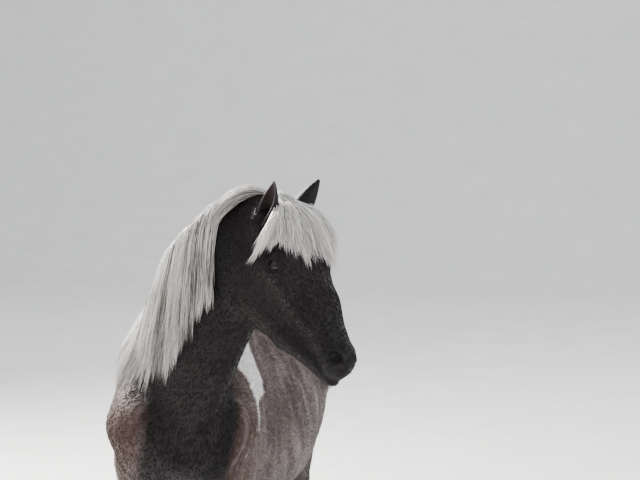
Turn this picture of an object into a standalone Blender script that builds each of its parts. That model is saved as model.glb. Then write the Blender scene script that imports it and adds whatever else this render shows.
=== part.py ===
"""Icelandic horse, life size, as a still museum model in separate closed solids.

The horse stands square, facing -Y with its left side at +X, and looks round to its left.
Everything is in metres, +Z up. The body is first described straight and symmetric, as smooth
unions of tapered limbs, ellipsoids and lofted sections. Its surface is then bent at the neck
and parted with thin cuts.
"""

import math

import bmesh
import bpy
import numpy as np
from mathutils import Matrix, Vector

GAP = 0.0003
FLAT = math.radians(1.0)

HEAD_PITCH = math.radians(55.0)
POLL = (-0.926, 1.612)
NECK_BASE = (-0.520, 1.150)
NECK_RISE = math.radians(30.0)
NECK_RUN = 0.763
CHEST_TURN = math.radians(7.0)
NECK_TURN = math.radians(33.5)
HEAD_TURN = math.radians(15.5)
# How far the shoulders are carried to the right as the neck bends left, and where that fades out.
SWAY = 0.026
SWAY_FADE = 0.45

EYE = (0.192, 0.016, 0.075)
EYE_BALL = 0.0215
LID = 0.0256
EAR_ROOT = (0.062, 0.018, 0.069)
NOSTRIL = (0.483, 0.024, 0.041)

FORE_X = 0.120
FORE_Y = -0.455
HIND_X = 0.130
HIND_Y = 0.630
STRIDE = {"fore_left": -0.010, "fore_right": 0.035, "hind_left": -0.025, "hind_right": 0.045}

# Hair: where the mane grows along the neck, and each layer of locks as its count, how far it
# lies off the skin or the share of the tail's width, and its share of the full length.
MANE = (-0.820, -0.300)
MANE_LAYERS = ((12, 0.013, 1.00), (10, 0.022, 0.90))
MANE_LEFT = (-0.900, -0.790)
MANE_LEFT_LAYERS = ((4, 0.014, 1.00),)
FORELOCK_LAYERS = ((8, 0.013, 1.00), (6, 0.025, 0.88))
TAIL_LAYERS = ((6, 0.55, 1.00), (9, 0.92, 0.93))
TAIL_TOP = 1.125
TAIL_TIP = 0.170
CORE_REACH = 0.42

NECK_CUT = -0.020
HEAD_CUT = -0.885
KNEE_CUT = 0.415
HOCK_CUT = 0.500
FORE_CUT = 0.690
HIND_CUT = 0.695


def smoothstep(t):
    t = np.clip(t, 0.0, 1.0)
    return t * t * (3.0 - 2.0 * t)


def through(stations, column):
    """A smooth curve through one column of a table of stations, as a function of the first."""
    at = np.array([row[0] for row in stations])
    value = np.array([row[column] for row in stations])
    slope = np.gradient(value, at)

    def curve(y):
        i = np.clip(np.searchsorted(at, y) - 1, 0, len(at) - 2)
        span = at[i + 1] - at[i]
        t = np.clip((y - at[i]) / span, 0.0, 1.0)
        rise = value[i + 1] - value[i]
        return (
            value[i]
            + rise * t * t * (3.0 - 2.0 * t)
            + span * slope[i] * t * (1.0 - t) ** 2
            - span * slope[i + 1] * t * t * (1.0 - t)
        )

    return curve


class Field:
    """How far each point of a grid lies from the skin, negative inside. Only the left half is kept."""

    def __init__(self, xs, ys, zs):
        self.axes = [np.asarray(a, np.float32) for a in (xs, ys, zs)]
        self.d = np.full([len(a) for a in self.axes], 1.0, np.float32)

    def window(self, low, high):
        spans = []
        for axis, lo, hi in zip(self.axes, low, high):
            spans.append(slice(int(np.searchsorted(axis, lo)), int(np.searchsorted(axis, hi))))
        return tuple(spans)

    def points(self, spans):
        x = self.axes[0][spans[0]][:, None, None]
        y = self.axes[1][spans[1]][None, :, None]
        z = self.axes[2][spans[2]][None, None, :]
        return x, y, z

    def join(self, shape, low, high, blend):
        """Adds a shape with a smooth fillet of about blend."""
        margin = blend + 0.02
        spans = self.window([v - margin for v in low], [v + margin for v in high])
        if any(s.stop <= s.start for s in spans):
            return
        new = shape(*self.points(spans))
        old = self.d[spans]
        near = np.maximum(blend - np.abs(old - new), 0.0) / blend
        self.d[spans] = np.minimum(old, new) - near * near * blend * 0.25

    def carve(self, shape, low, high, blend):
        """Takes a shape away with a smooth edge of about blend."""
        margin = blend + 0.01
        spans = self.window([v - margin for v in low], [v + margin for v in high])
        if any(s.stop <= s.start for s in spans):
            return
        new = -shape(*self.points(spans))
        old = self.d[spans]
        near = np.maximum(blend - np.abs(old - new), 0.0) / blend
        self.d[spans] = np.maximum(old, new) + near * near * blend * 0.25

    def at(self, p):
        """The field at points of the left half, between the grid's samples."""
        p = np.array(p, np.float64)
        p[:, 0] = np.abs(p[:, 0])
        low, share = [], []
        for axis, v in zip(self.axes, p.T):
            i = np.clip(np.searchsorted(axis, v) - 1, 0, len(axis) - 2)
            low.append(i)
            share.append(np.clip((v - axis[i]) / (axis[i + 1] - axis[i]), 0.0, 1.0))
        total = 0.0
        for corner in range(8):
            bits = [(corner >> k) & 1 for k in range(3)]
            weight = 1.0
            for k in range(3):
                weight = weight * (share[k] if bits[k] else 1.0 - share[k])
            total = total + weight * self.d[low[0] + bits[0], low[1] + bits[1], low[2] + bits[2]]
        return total


def frame_of(axis, up):
    """Three unit vectors: along the axis, sideways, and up as near as it can be."""
    a = Vector(axis).normalized()
    s = a.cross(Vector(up)).normalized()
    return a, s, s.cross(a)


def limb(field, a, b, ra, rb, blend=0.03, up=(0, 0, 1), cut=False, both=True):
    """A tapered limb from a to b. Each radius is one number or a (sideways, upwards) pair."""
    ra = ra if isinstance(ra, tuple) else (ra, ra)
    rb = rb if isinstance(rb, tuple) else (rb, rb)
    widest = max(ra + rb)
    act = field.carve if cut else field.join
    for sign in (1.0, -1.0) if both else (1.0,):
        pa = Vector((a[0] * sign, a[1], a[2]))
        pb = Vector((b[0] * sign, b[1], b[2]))
        if sign < 0 and max(pa.x, pb.x) + widest < 0:
            continue
        axis, side, top = frame_of(pb - pa, (up[0] * sign, up[1], up[2]))
        length = (pb - pa).length

        def shape(x, y, z, pa=pa, axis=axis, side=side, top=top, length=length):
            dx, dy, dz = x - pa.x, y - pa.y, z - pa.z
            along = dx * axis.x + dy * axis.y + dz * axis.z
            t = np.clip(along / length, 0.0, 1.0)
            w = ra[0] + (rb[0] - ra[0]) * t
            h = ra[1] + (rb[1] - ra[1]) * t
            over = along - t * length
            s = dx * side.x + dy * side.y + dz * side.z
            u = dx * top.x + dy * top.y + dz * top.z
            m = (w + h) * 0.5
            k0 = np.sqrt((s / w) ** 2 + (u / h) ** 2 + (over / m) ** 2) + 1e-6
            k1 = np.sqrt((s / w**2) ** 2 + (u / h**2) ** 2 + (over / m**2) ** 2) + 1e-6
            return k0 * (k0 - 1.0) / k1

        low = [min(p, q) - widest for p, q in zip(pa, pb)]
        high = [max(p, q) + widest for p, q in zip(pa, pb)]
        act(shape, low, high, blend)


def lump(field, centre, radii, blend=0.03, along=(0, 1, 0), up=(0, 0, 1), cut=False):
    """An ellipsoid. Its radii run along its axis, sideways and upwards."""
    act = field.carve if cut else field.join
    widest = max(radii)
    for sign in (1.0, -1.0):
        c = Vector((centre[0] * sign, centre[1], centre[2]))
        if sign < 0 and (c.x + widest < 0 or centre[0] == 0):
            continue
        flip = Vector((sign, 1, 1))
        axis, side, top = frame_of(Vector(along) * flip, Vector(up) * flip)

        def shape(x, y, z, c=c, axis=axis, side=side, top=top):
            dx, dy, dz = x - c.x, y - c.y, z - c.z
            k0 = k1 = 0.0
            for r, v in zip(radii, (axis, side, top)):
                part = (dx * v.x + dy * v.y + dz * v.z) / r
                k0 = k0 + part**2
                k1 = k1 + (part / r) ** 2
            k0, k1 = np.sqrt(k0) + 1e-6, np.sqrt(k1) + 1e-6
            return k0 * (k0 - 1.0) / k1

        act(shape, [v - widest for v in c], [v + widest for v in c], blend)


TRUNK = (
    # y, top, bottom, widest at, half width, roundness above and below
    (-0.690, 1.060, 0.870, 0.950, 0.062, 2.0, 2.1),
    (-0.600, 1.220, 0.800, 0.950, 0.130, 2.0, 2.2),
    (-0.480, 1.335, 0.760, 0.950, 0.170, 1.8, 2.3),
    (-0.360, 1.368, 0.738, 0.940, 0.205, 1.7, 2.4),
    (-0.220, 1.352, 0.705, 0.930, 0.244, 1.8, 2.6),
    (-0.060, 1.322, 0.668, 0.920, 0.274, 2.0, 2.8),
    (0.100, 1.315, 0.648, 0.930, 0.286, 2.1, 2.8),
    (0.240, 1.322, 0.680, 0.950, 0.276, 2.15, 2.7),
    (0.380, 1.322, 0.780, 1.000, 0.250, 2.1, 2.3),
    (0.520, 1.275, 0.880, 1.050, 0.215, 2.0, 2.1),
    (0.640, 1.180, 0.960, 1.060, 0.145, 2.0, 2.1),
    (0.705, 1.110, 1.020, 1.065, 0.070, 2.0, 2.1),
)

NECK = (
    # crest y and z, throat y and z, half width
    (-0.330, 1.350, -0.685, 0.930, 0.118),
    (-0.480, 1.424, -0.750, 1.075, 0.102),
    (-0.620, 1.508, -0.796, 1.205, 0.088),
    (-0.755, 1.584, -0.850, 1.302, 0.079),
    (-0.870, 1.632, -0.908, 1.368, 0.075),
)


def trunk(field):
    top, bottom, middle, width, above, below = (through(TRUNK, k) for k in range(1, 7))

    def shape(x, y, z):
        c, w = middle(y), width(y)
        v = z - c
        half = np.where(v > 0, top(y) - c, c - bottom(y))
        n = np.where(v > 0, above(y), below(y))
        r = np.sqrt(x * x + v * v) + 1e-6
        q = ((np.abs(x) / w) ** n + (np.abs(v) / half) ** n) ** (1.0 / n) + 1e-6
        radial = r * (1.0 - 1.0 / q)
        ends = np.maximum(TRUNK[0][0] - y, y - TRUNK[-1][0])
        return np.maximum(radial * 0.9, ends)

    field.join(shape, (0.0, TRUNK[0][0], 0.58), (0.36, TRUNK[-1][0], 1.42), 0.04)


def neck(field):
    steps = 16
    curves = [through([(i, *row) for i, row in enumerate(NECK)], k) for k in range(1, 6)]
    rows = [[float(c(np.float64(s))) for c in curves] for s in np.linspace(0, len(NECK) - 1, steps)]
    for near, far in zip(rows, rows[1:]):
        ends = []
        for cy, cz, ty, tz, w in (near, far):
            middle = (0.0, (cy + ty) / 2, (cz + tz) / 2)
            ends.append((middle, (w, math.hypot(cy - ty, cz - tz) / 2)))
        up = (0.0, far[0] - far[2], far[1] - far[3])
        limb(field, ends[0][0], ends[1][0], ends[0][1], ends[1][1], 0.02, up, both=False)


def head_point(a, d, x=0.0):
    """A point of the head: a along it from the poll, d towards its front line, x to the left."""
    c, s = math.cos(HEAD_PITCH), math.sin(HEAD_PITCH)
    return (x, POLL[0] - a * c - d * s, POLL[1] - a * s + d * c)


def head_way(a, d, x=0.0):
    """A direction given the same way as head_point gives a place."""
    c, s = math.cos(HEAD_PITCH), math.sin(HEAD_PITCH)
    return (x, -a * c - d * s, -a * s + d * c)


def head(field):
    hp, hw = head_point, head_way
    front = hw(0, 1)
    down = hw(1, 0)

    def bar(a, b, ra, rb, blend, up=front, cut=False):
        limb(field, hp(*a), hp(*b), ra, rb, blend, up, cut)

    def ball(at, radii, blend, along=down, up=front, cut=False):
        lump(field, hp(*at), radii, blend, along, up, cut)

    # Skull and forehead.
    ball((0.070, -0.005), (0.115, 0.076, 0.072), 0.03)
    ball((0.165, 0.022), (0.125, 0.086, 0.064), 0.03)
    # The long face, narrowing to the nose.
    bar((0.170, 0.000), (0.320, 0.000), (0.080, 0.080), (0.053, 0.066), 0.03)
    bar((0.320, 0.000), (0.465, 0.000), (0.052, 0.060), (0.035, 0.040), 0.03)
    bar((0.190, 0.033), (0.462, 0.005), (0.042, 0.029), (0.022, 0.020), 0.03)
    # Cheeks and the bars of the lower jaw.
    ball((0.200, -0.086, 0.048), (0.115, 0.040, 0.098), 0.045, up=hw(-0.15, 1))
    bar((0.215, -0.132, 0.034), (0.345, -0.098, 0.028), 0.044, 0.036, 0.045)
    bar((0.345, -0.098, 0.028), (0.480, -0.050, 0.012), 0.035, 0.025, 0.03)
    # Cheekbone crest.
    bar((0.200, 0.006, 0.084), (0.360, -0.004, 0.052), 0.012, 0.008, 0.035)
    # Muzzle, lips and chin.
    ball((0.470, -0.005), (0.046, 0.034, 0.034), 0.03)
    ball((0.470, 0.001, 0.019), (0.036, 0.018, 0.026), 0.02)
    ball((0.493, -0.015), (0.027, 0.034, 0.030), 0.025)
    ball((0.497, -0.048), (0.034, 0.031, 0.025), 0.012)
    # Mouth, from the corner to the front of the lips.
    bar((0.436, -0.036, 0.043), (0.508, -0.041, 0.040), 0.0055, 0.0055, 0.008, cut=True)
    bar((0.508, -0.041, 0.040), (0.538, -0.039, 0.000), 0.0055, 0.0055, 0.008, cut=True)
    # Nostrils, with a raised rim.
    along, over = hw(0.8, 0.45), hw(-0.45, 0.8, 0.2)
    at, out, aside = NOSTRIL
    ball((at - 0.006, out - 0.003, aside - 0.013), (0.026, 0.010, 0.015), 0.018, along, over)
    ball((at, out, aside), (0.020, 0.018, 0.013), 0.008, along, over, cut=True)
    # Hollow above each eye, then the brow, the lids and the opening between them.
    ball((0.148, 0.040, 0.094), (0.024, 0.014, 0.014), 0.03, cut=True)
    ball((EYE[0], EYE[1], EYE[2] - 0.002), (LID, LID, LID), 0.016)
    bar((0.172, 0.040, 0.080), (0.216, 0.040, 0.076), 0.011, 0.010, 0.025)
    slit = EYE[2] + 0.022
    along = hw(1, 0.25)
    ball((EYE[0], EYE[1] + 0.001, slit), (0.0195, 0.0130, 0.0115), 0.003, along, hw(-0.25, 1), cut=True)
    # Ear roots.
    ball((EAR_ROOT[0] - 0.004, EAR_ROOT[1] - 0.002, EAR_ROOT[2] - 0.008), (0.032, 0.028, 0.032), 0.025)


def foreleg(field):
    x, y = FORE_X, FORE_Y
    # Shoulder blade, its front muscles and the long head over the elbow.
    limb(
        field, (0.056, -0.330, 1.250), (0.126, -0.570, 0.980),
        (0.046, 0.085), (0.062, 0.095), 0.09, (0, 1, 1),
    )
    lump(field, (0.122, -0.560, 0.945), (0.095, 0.062, 0.125), 0.08)
    limb(
        field, (0.118, -0.390, 1.060), (0.136, -0.430, 0.850),
        (0.066, 0.110), (0.062, 0.095), 0.08, (0, 1, 0),
    )
    # Breast.
    lump(field, (0.075, -0.610, 0.930), (0.080, 0.075, 0.120), 0.06)
    # Forearm.
    limb(field, (0.136, y, 0.830), (0.126, y - 0.005, 0.640), (0.062, 0.092), (0.053, 0.068), 0.06, (0, 1, 0))
    limb(
        field, (0.126, y - 0.005, 0.640), (0.121, y - 0.008, 0.480),
        (0.053, 0.068), (0.038, 0.044), 0.03, (0, 1, 0),
    )
    lump(field, (0.138, y - 0.030, 0.720), (0.056, 0.052, 0.100), 0.04)
    # Knee, with the knob at its back.
    lump(field, (x, y - 0.012, 0.432), (0.043, 0.045, 0.056), 0.02)
    lump(field, (x, y + 0.030, 0.440), (0.017, 0.026, 0.032), 0.02)
    # Cannon and its tendons.
    limb(field, (x, y - 0.012, 0.420), (x, y - 0.010, 0.225), (0.029, 0.029), (0.025, 0.025), 0.02, (0, 1, 0))
    limb(field, (x, y + 0.020, 0.400), (x, y + 0.018, 0.225), (0.015, 0.017), (0.016, 0.017), 0.02, (0, 1, 0))
    fetlock(field, x, y)


def fetlock(field, x, y):
    """Fetlock joint, pastern and coronet, down into the top of the hoof."""
    lump(field, (x, y - 0.002, 0.205), (0.038, 0.037, 0.038), 0.02)
    lump(field, (x, y + 0.030, 0.190), (0.020, 0.026, 0.026), 0.02)
    limb(field, (x, y - 0.010, 0.190), (x, y - 0.052, 0.095), (0.032, 0.033), (0.042, 0.044), 0.02, (0, 1, 0))
    limb(field, (x, y - 0.052, 0.095), (x, y - 0.054, 0.040), (0.044, 0.042), (0.046, 0.044), 0.02, (0, 1, 0))


def hindleg(field):
    x, y = HIND_X, HIND_Y
    # Rump: from the point of the hip over the thigh to the buttock.
    limb(field, (0.165, 0.260, 1.170), (0.120, 0.500, 1.120), (0.075, 0.085), (0.105, 0.120), 0.10)
    lump(field, (0.138, 0.450, 1.010), (0.190, 0.108, 0.210), 0.09)
    limb(field, (0.090, 0.605, 1.080), (0.125, 0.575, 0.820), (0.085, 0.090), (0.062, 0.072), 0.07, (0, 1, 0))
    # Thigh down to the stifle.
    limb(field, (0.152, 0.440, 0.970), (0.172, 0.380, 0.820), (0.082, 0.130), (0.064, 0.085), 0.08, (0, 1, 0))
    # Gaskin.
    limb(
        field, (0.160, 0.450, 0.850), (0.138, 0.580, 0.620),
        (0.074, 0.115), (0.042, 0.054), 0.05, (0, 1, 0.4),
    )
    # The great tendon to the point of the hock.
    limb(
        field, (0.130, 0.600, 0.760), (0.132, 0.672, 0.585),
        (0.028, 0.034), (0.017, 0.019), 0.03, (0, 1, 0.3),
    )
    # Hock.
    limb(field, (0.134, 0.600, 0.600), (x, 0.628, 0.500), (0.040, 0.046), (0.037, 0.043), 0.03, (0, 1, 0))
    limb(field, (x, 0.676, 0.580), (x, 0.658, 0.500), (0.021, 0.021), (0.022, 0.022), 0.03, (0, 1, 0))
    # Cannon and its tendons.
    limb(field, (x, y - 0.008, 0.490), (x, y - 0.010, 0.225), (0.030, 0.031), (0.026, 0.027), 0.02, (0, 1, 0))
    limb(field, (x, y + 0.026, 0.480), (x, y + 0.020, 0.225), (0.016, 0.018), (0.016, 0.017), 0.02, (0, 1, 0))
    fetlock(field, x, y)


def dock(field):
    """The root of the tail, which the tail's hair hides lower down."""
    limb(field, (0.0, 0.620, 1.170), (0.0, 0.725, 1.120), (0.050, 0.045), (0.034, 0.032), 0.06, both=False)


def body_field(xs, ys, zs):
    field = Field(xs, ys, zs)
    trunk(field)
    neck(field)
    hindleg(field)
    foreleg(field)
    dock(field)
    head(field)
    return field


def graded(stops, steps):
    """Grid lines from the first stop to the last, with one step between each two stops."""
    lines = []
    for lo, hi, step in zip(stops, stops[1:], steps):
        count = max(1, round((hi - lo) / step))
        lines.extend(np.linspace(lo, hi, count, endpoint=False))
    lines.append(stops[-1])
    return np.array(lines)


def untangle(d):
    """Turns a sample round wherever two surfaces would meet in one edge of the skin."""
    for _ in range(5):
        found = 0
        for u, v in ((0, 1), (1, 2), (0, 2)):
            inside = d < 0
            corner = []
            for i, j in ((0, 0), (1, 0), (1, 1), (0, 1)):
                span = [slice(None)] * 3
                span[u] = slice(i, d.shape[u] - 1 + i)
                span[v] = slice(j, d.shape[v] - 1 + j)
                corner.append(inside[tuple(span)])
            a, b, c, e = corner
            for cell in np.argwhere((a == c) & (b == e) & (a != b)):
                spots = []
                for i, j in ((0, 0), (1, 0), (1, 1), (0, 1)):
                    spot = cell.copy()
                    spot[u] += i
                    spot[v] += j
                    spots.append(tuple(spot))
                weakest = min(spots, key=lambda spot: abs(d[spot]))
                d[weakest] = -1e-4 if d[weakest] >= 0 else 1e-4
                found += 1
        if not found:
            return


def surface(field):
    """The skin as points and quads, for both halves, by naive surface nets."""
    untangle(field.d)
    xs, ys, zs = field.axes
    xs = np.concatenate([-xs[:0:-1], xs])
    d = np.concatenate([field.d[:0:-1], field.d])
    inside = d < 0
    count = np.zeros([n - 1 for n in d.shape], np.uint8)
    corners = [(i, j, k) for i in (0, 1) for j in (0, 1) for k in (0, 1)]
    nx, ny, nz = count.shape
    for i, j, k in corners:
        count += inside[i : i + nx, j : j + ny, k : k + nz]
    cells = np.argwhere((count > 0) & (count < 8))
    values = np.stack([d[tuple((cells + c).T)] for c in corners], 1)
    offset = np.array(corners, float)
    total = np.zeros((len(cells), 3))
    hits = np.zeros(len(cells))
    for p in range(8):
        for q in range(p + 1, 8):
            if np.abs(offset[p] - offset[q]).sum() != 1:
                continue
            crossed = (values[:, p] < 0) != (values[:, q] < 0)
            vp, vq = values[crossed, p], values[crossed, q]
            t = (vp / (vp - vq))[:, None]
            total[crossed] += offset[p] + t * (offset[q] - offset[p])
            hits[crossed] += 1
    local = total / hits[:, None]
    points = np.empty_like(local)
    for k, axis in enumerate((xs, ys, zs)):
        low = axis[cells[:, k]]
        points[:, k] = low + local[:, k] * (axis[cells[:, k] + 1] - low)
    index = np.full(count.shape, -1, np.int64)
    index[tuple(cells.T)] = np.arange(len(cells))
    quads = []
    for k in range(3):
        u, v = (k + 1) % 3, (k + 2) % 3
        first = [slice(None)] * 3
        second = [slice(None)] * 3
        first[k], second[k] = slice(0, -1), slice(1, None)
        a, b = inside[tuple(first)], inside[tuple(second)]
        edges = np.argwhere(a != b)
        edges = edges[(edges[:, u] > 0) & (edges[:, v] > 0)]
        outward = a[tuple(edges.T)]
        ring = []
        for du, dv in ((-1, -1), (0, -1), (0, 0), (-1, 0)):
            at = edges.copy()
            at[:, u] += du
            at[:, v] += dv
            ring.append(index[tuple(at.T)])
        ring = np.stack(ring, 1)
        ring[~outward] = ring[~outward][:, ::-1]
        quads.append(ring)
    return points, np.concatenate(quads)


def turn_table():
    """The way of the neck seen from above: heading and place against the distance up the neck."""
    u = np.linspace(-0.60, 1.20, 361)
    heading = CHEST_TURN * smoothstep((u + 0.45) / 0.45)
    heading += NECK_TURN * smoothstep((u + 0.05) / 0.27) + HEAD_TURN * smoothstep((u - 0.18) / 0.20)
    side = np.sin(heading) * NECK_RUN
    ahead = -np.cos(heading) * NECK_RUN
    step = np.diff(u)
    run = [np.concatenate([[0.0], np.cumsum((v[1:] + v[:-1]) / 2 * step)]) for v in (side, ahead)]
    start = NECK_BASE[0] - NECK_RUN * u[0]
    return u, heading, run[0], start + run[1]


TURNS = turn_table()


def up_neck(p):
    """How far a point of the straight horse lies up the neck from its base."""
    back, rise = p[:, 1] - NECK_BASE[0], p[:, 2] - NECK_BASE[1]
    return -math.cos(NECK_RISE) * back + math.sin(NECK_RISE) * rise


def posed(points):
    """The straight horse's points, with the legs set down and the neck bent round to the left."""
    p = np.array(points, float).reshape(-1, 3)
    low = smoothstep((0.74 - p[:, 2]) / 0.60)
    left = smoothstep((p[:, 0] + 0.05) / 0.10)
    hind = smoothstep((p[:, 1] + 0.10) / 0.25)
    fore_step = STRIDE["fore_left"] * left + STRIDE["fore_right"] * (1.0 - left)
    hind_step = STRIDE["hind_left"] * left + STRIDE["hind_right"] * (1.0 - left)
    step = low * (fore_step * (1.0 - hind) + hind_step * hind)
    at, heading, side, ahead = TURNS
    u = np.maximum(up_neck(p), at[0])
    sway = SWAY * smoothstep((-0.02 - p[:, 1]) / 0.36) * smoothstep((p[:, 2] - 0.12) / 0.60)
    sway = sway * (1.0 - smoothstep((u - 0.02) / SWAY_FADE)) * smoothstep((1.42 - p[:, 2]) / 0.30)
    angle = np.interp(u, at, heading)
    centre = NECK_BASE[0] - NECK_RUN * u
    dx, dy = p[:, 0], p[:, 1] - centre
    c, s = np.cos(angle), np.sin(angle)
    moved = p.copy()
    moved[:, 0] = np.interp(u, at, side) + dx * c - dy * s - sway
    moved[:, 1] = np.interp(u, at, ahead) + dx * s + dy * c + step
    return moved


def turned(point, way):
    """A direction of the straight horse at a point, after the bend of the neck."""
    at, heading = TURNS[0], TURNS[1]
    u = up_neck(np.array([point], float))[0]
    angle = float(np.interp(max(u, at[0]), at, heading))
    return Matrix.Rotation(angle, 3, "Z") @ Vector(way)


def mesh_object(name, points, faces):
    mesh = bpy.data.meshes.new(name)
    mesh.from_pydata(np.asarray(points).tolist(), [], [list(f) for f in faces])
    mesh.update()
    obj = bpy.data.objects.new(name, mesh)
    bpy.context.scene.collection.objects.link(obj)
    return obj


def editing(obj):
    bm = bmesh.new()
    bm.from_mesh(obj.data)
    return bm


def store(bm, obj):
    bm.to_mesh(obj.data)
    bm.free()
    obj.data.update()


def close_holes(bm):
    rim = [e for e in bm.edges if e.is_boundary]
    if rim:
        filled = bmesh.ops.holes_fill(bm, edges=rim, sides=0)
        bmesh.ops.triangulate(bm, faces=filled["faces"])
    bmesh.ops.recalc_face_normals(bm, faces=bm.faces)


def largest(bm):
    """Keeps only the closed surface that spans the most."""
    seen, shells = set(), []
    for face in bm.faces:
        if face in seen:
            continue
        stack, shell = [face], []
        seen.add(face)
        while stack:
            here = stack.pop()
            shell.append(here)
            for edge in here.edges:
                for other in edge.link_faces:
                    if other not in seen:
                        seen.add(other)
                        stack.append(other)
        shells.append(shell)
    shells.sort(key=lambda shell: sum(f.calc_area() for f in shell))
    for shell in shells[:-1]:
        bmesh.ops.delete(bm, geom=shell, context="FACES")


def applied(obj):
    """Bakes the object's modifiers into its mesh."""
    graph = bpy.context.evaluated_depsgraph_get()
    baked = bpy.data.meshes.new_from_object(obj.evaluated_get(graph))
    obj.modifiers.clear()
    obj.data = baked
    return obj


def thin_out(obj, budget):
    """Collapses edges until about the wanted number of triangles is left."""
    bm = editing(obj)
    bmesh.ops.triangulate(bm, faces=bm.faces)
    count = len(bm.faces)
    store(bm, obj)
    if count > budget:
        change = obj.modifiers.new("thin", "DECIMATE")
        change.ratio = budget / count
        applied(obj)


def cut_flat(obj, point, way, box=None):
    """Takes away what lies beyond a plane, along its way. A box limits it to one region."""
    bm = editing(obj)
    faces = list(bm.faces)
    if box:
        low, high = box
        faces = [f for f in faces if all(l < c < h for l, c, h in zip(low, f.calc_center_median(), high))]
    edges = {e for f in faces for e in f.edges}
    verts = {v for f in faces for v in f.verts}
    bmesh.ops.bisect_plane(
        bm,
        geom=faces + list(edges) + list(verts),
        dist=1e-6,
        plane_co=point,
        plane_no=way,
        clear_outer=True,
    )
    close_holes(bm)
    store(bm, obj)


def boolean(obj, other, operation, solver="EXACT"):
    change = obj.modifiers.new("cut", "BOOLEAN")
    change.operation = operation
    change.solver = solver
    change.object = other
    return applied(obj)


def tidy(obj, merge=2e-6, flat=0.0):
    """Merges doubled points and keeps the largest surface. Faces within the flat angle become one first."""
    bm = editing(obj)
    bmesh.ops.remove_doubles(bm, verts=bm.verts, dist=merge)
    if flat:
        bmesh.ops.dissolve_limit(bm, angle_limit=flat, verts=bm.verts, edges=bm.edges)
    bmesh.ops.dissolve_degenerate(bm, edges=bm.edges, dist=merge)
    bmesh.ops.triangulate(bm, faces=bm.faces)
    largest(bm)
    bmesh.ops.recalc_face_normals(bm, faces=bm.faces)
    store(bm, obj)


def swollen(obj, by, name="swollen"):
    """A copy of a solid with its surface moved out."""
    other = bpy.data.objects.new(name, obj.data.copy())
    bpy.context.scene.collection.objects.link(other)
    bm = editing(other)
    bm.normal_update()
    moves = [v.co + v.normal * by * min(v.calc_shell_factor(), 2.0) for v in bm.verts]
    for vert, place in zip(bm.verts, moves):
        vert.co = place
    store(bm, other)
    return other


def discard(*objects):
    for obj in objects:
        bpy.data.objects.remove(obj)


def carved_by(obj, solids, by, flat=0.0):
    """Clears a solid of its neighbours, with a thin gap."""
    for solid in solids:
        other = swollen(solid, by)
        boolean(obj, other, "DIFFERENCE", "MANIFOLD")
        discard(other)
    tidy(obj, flat=flat)
    return obj


def piece(name, skin, keep, budget, cuts):
    """One node of the body: a region of the skin, thinned out, then parted by planes."""
    points, quads, middles, bent = skin
    chosen = quads[keep(middles)]
    used, back = np.unique(chosen, return_inverse=True)
    obj = mesh_object(name, bent[used], back.reshape(chosen.shape))
    bm = editing(obj)
    close_holes(bm)
    largest(bm)
    store(bm, obj)
    thin_out(obj, budget)
    for cut in cuts:
        cut_flat(obj, *cut)
    tidy(obj)
    return obj


def plane(point, way, side):
    """A cut through the straight horse, as a point and direction after the bend, half a gap back."""
    way = Vector(way).normalized()
    place = Vector(posed([point])[0])
    bent = turned(point, way) * side
    return place - bent * GAP / 2, bent


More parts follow.
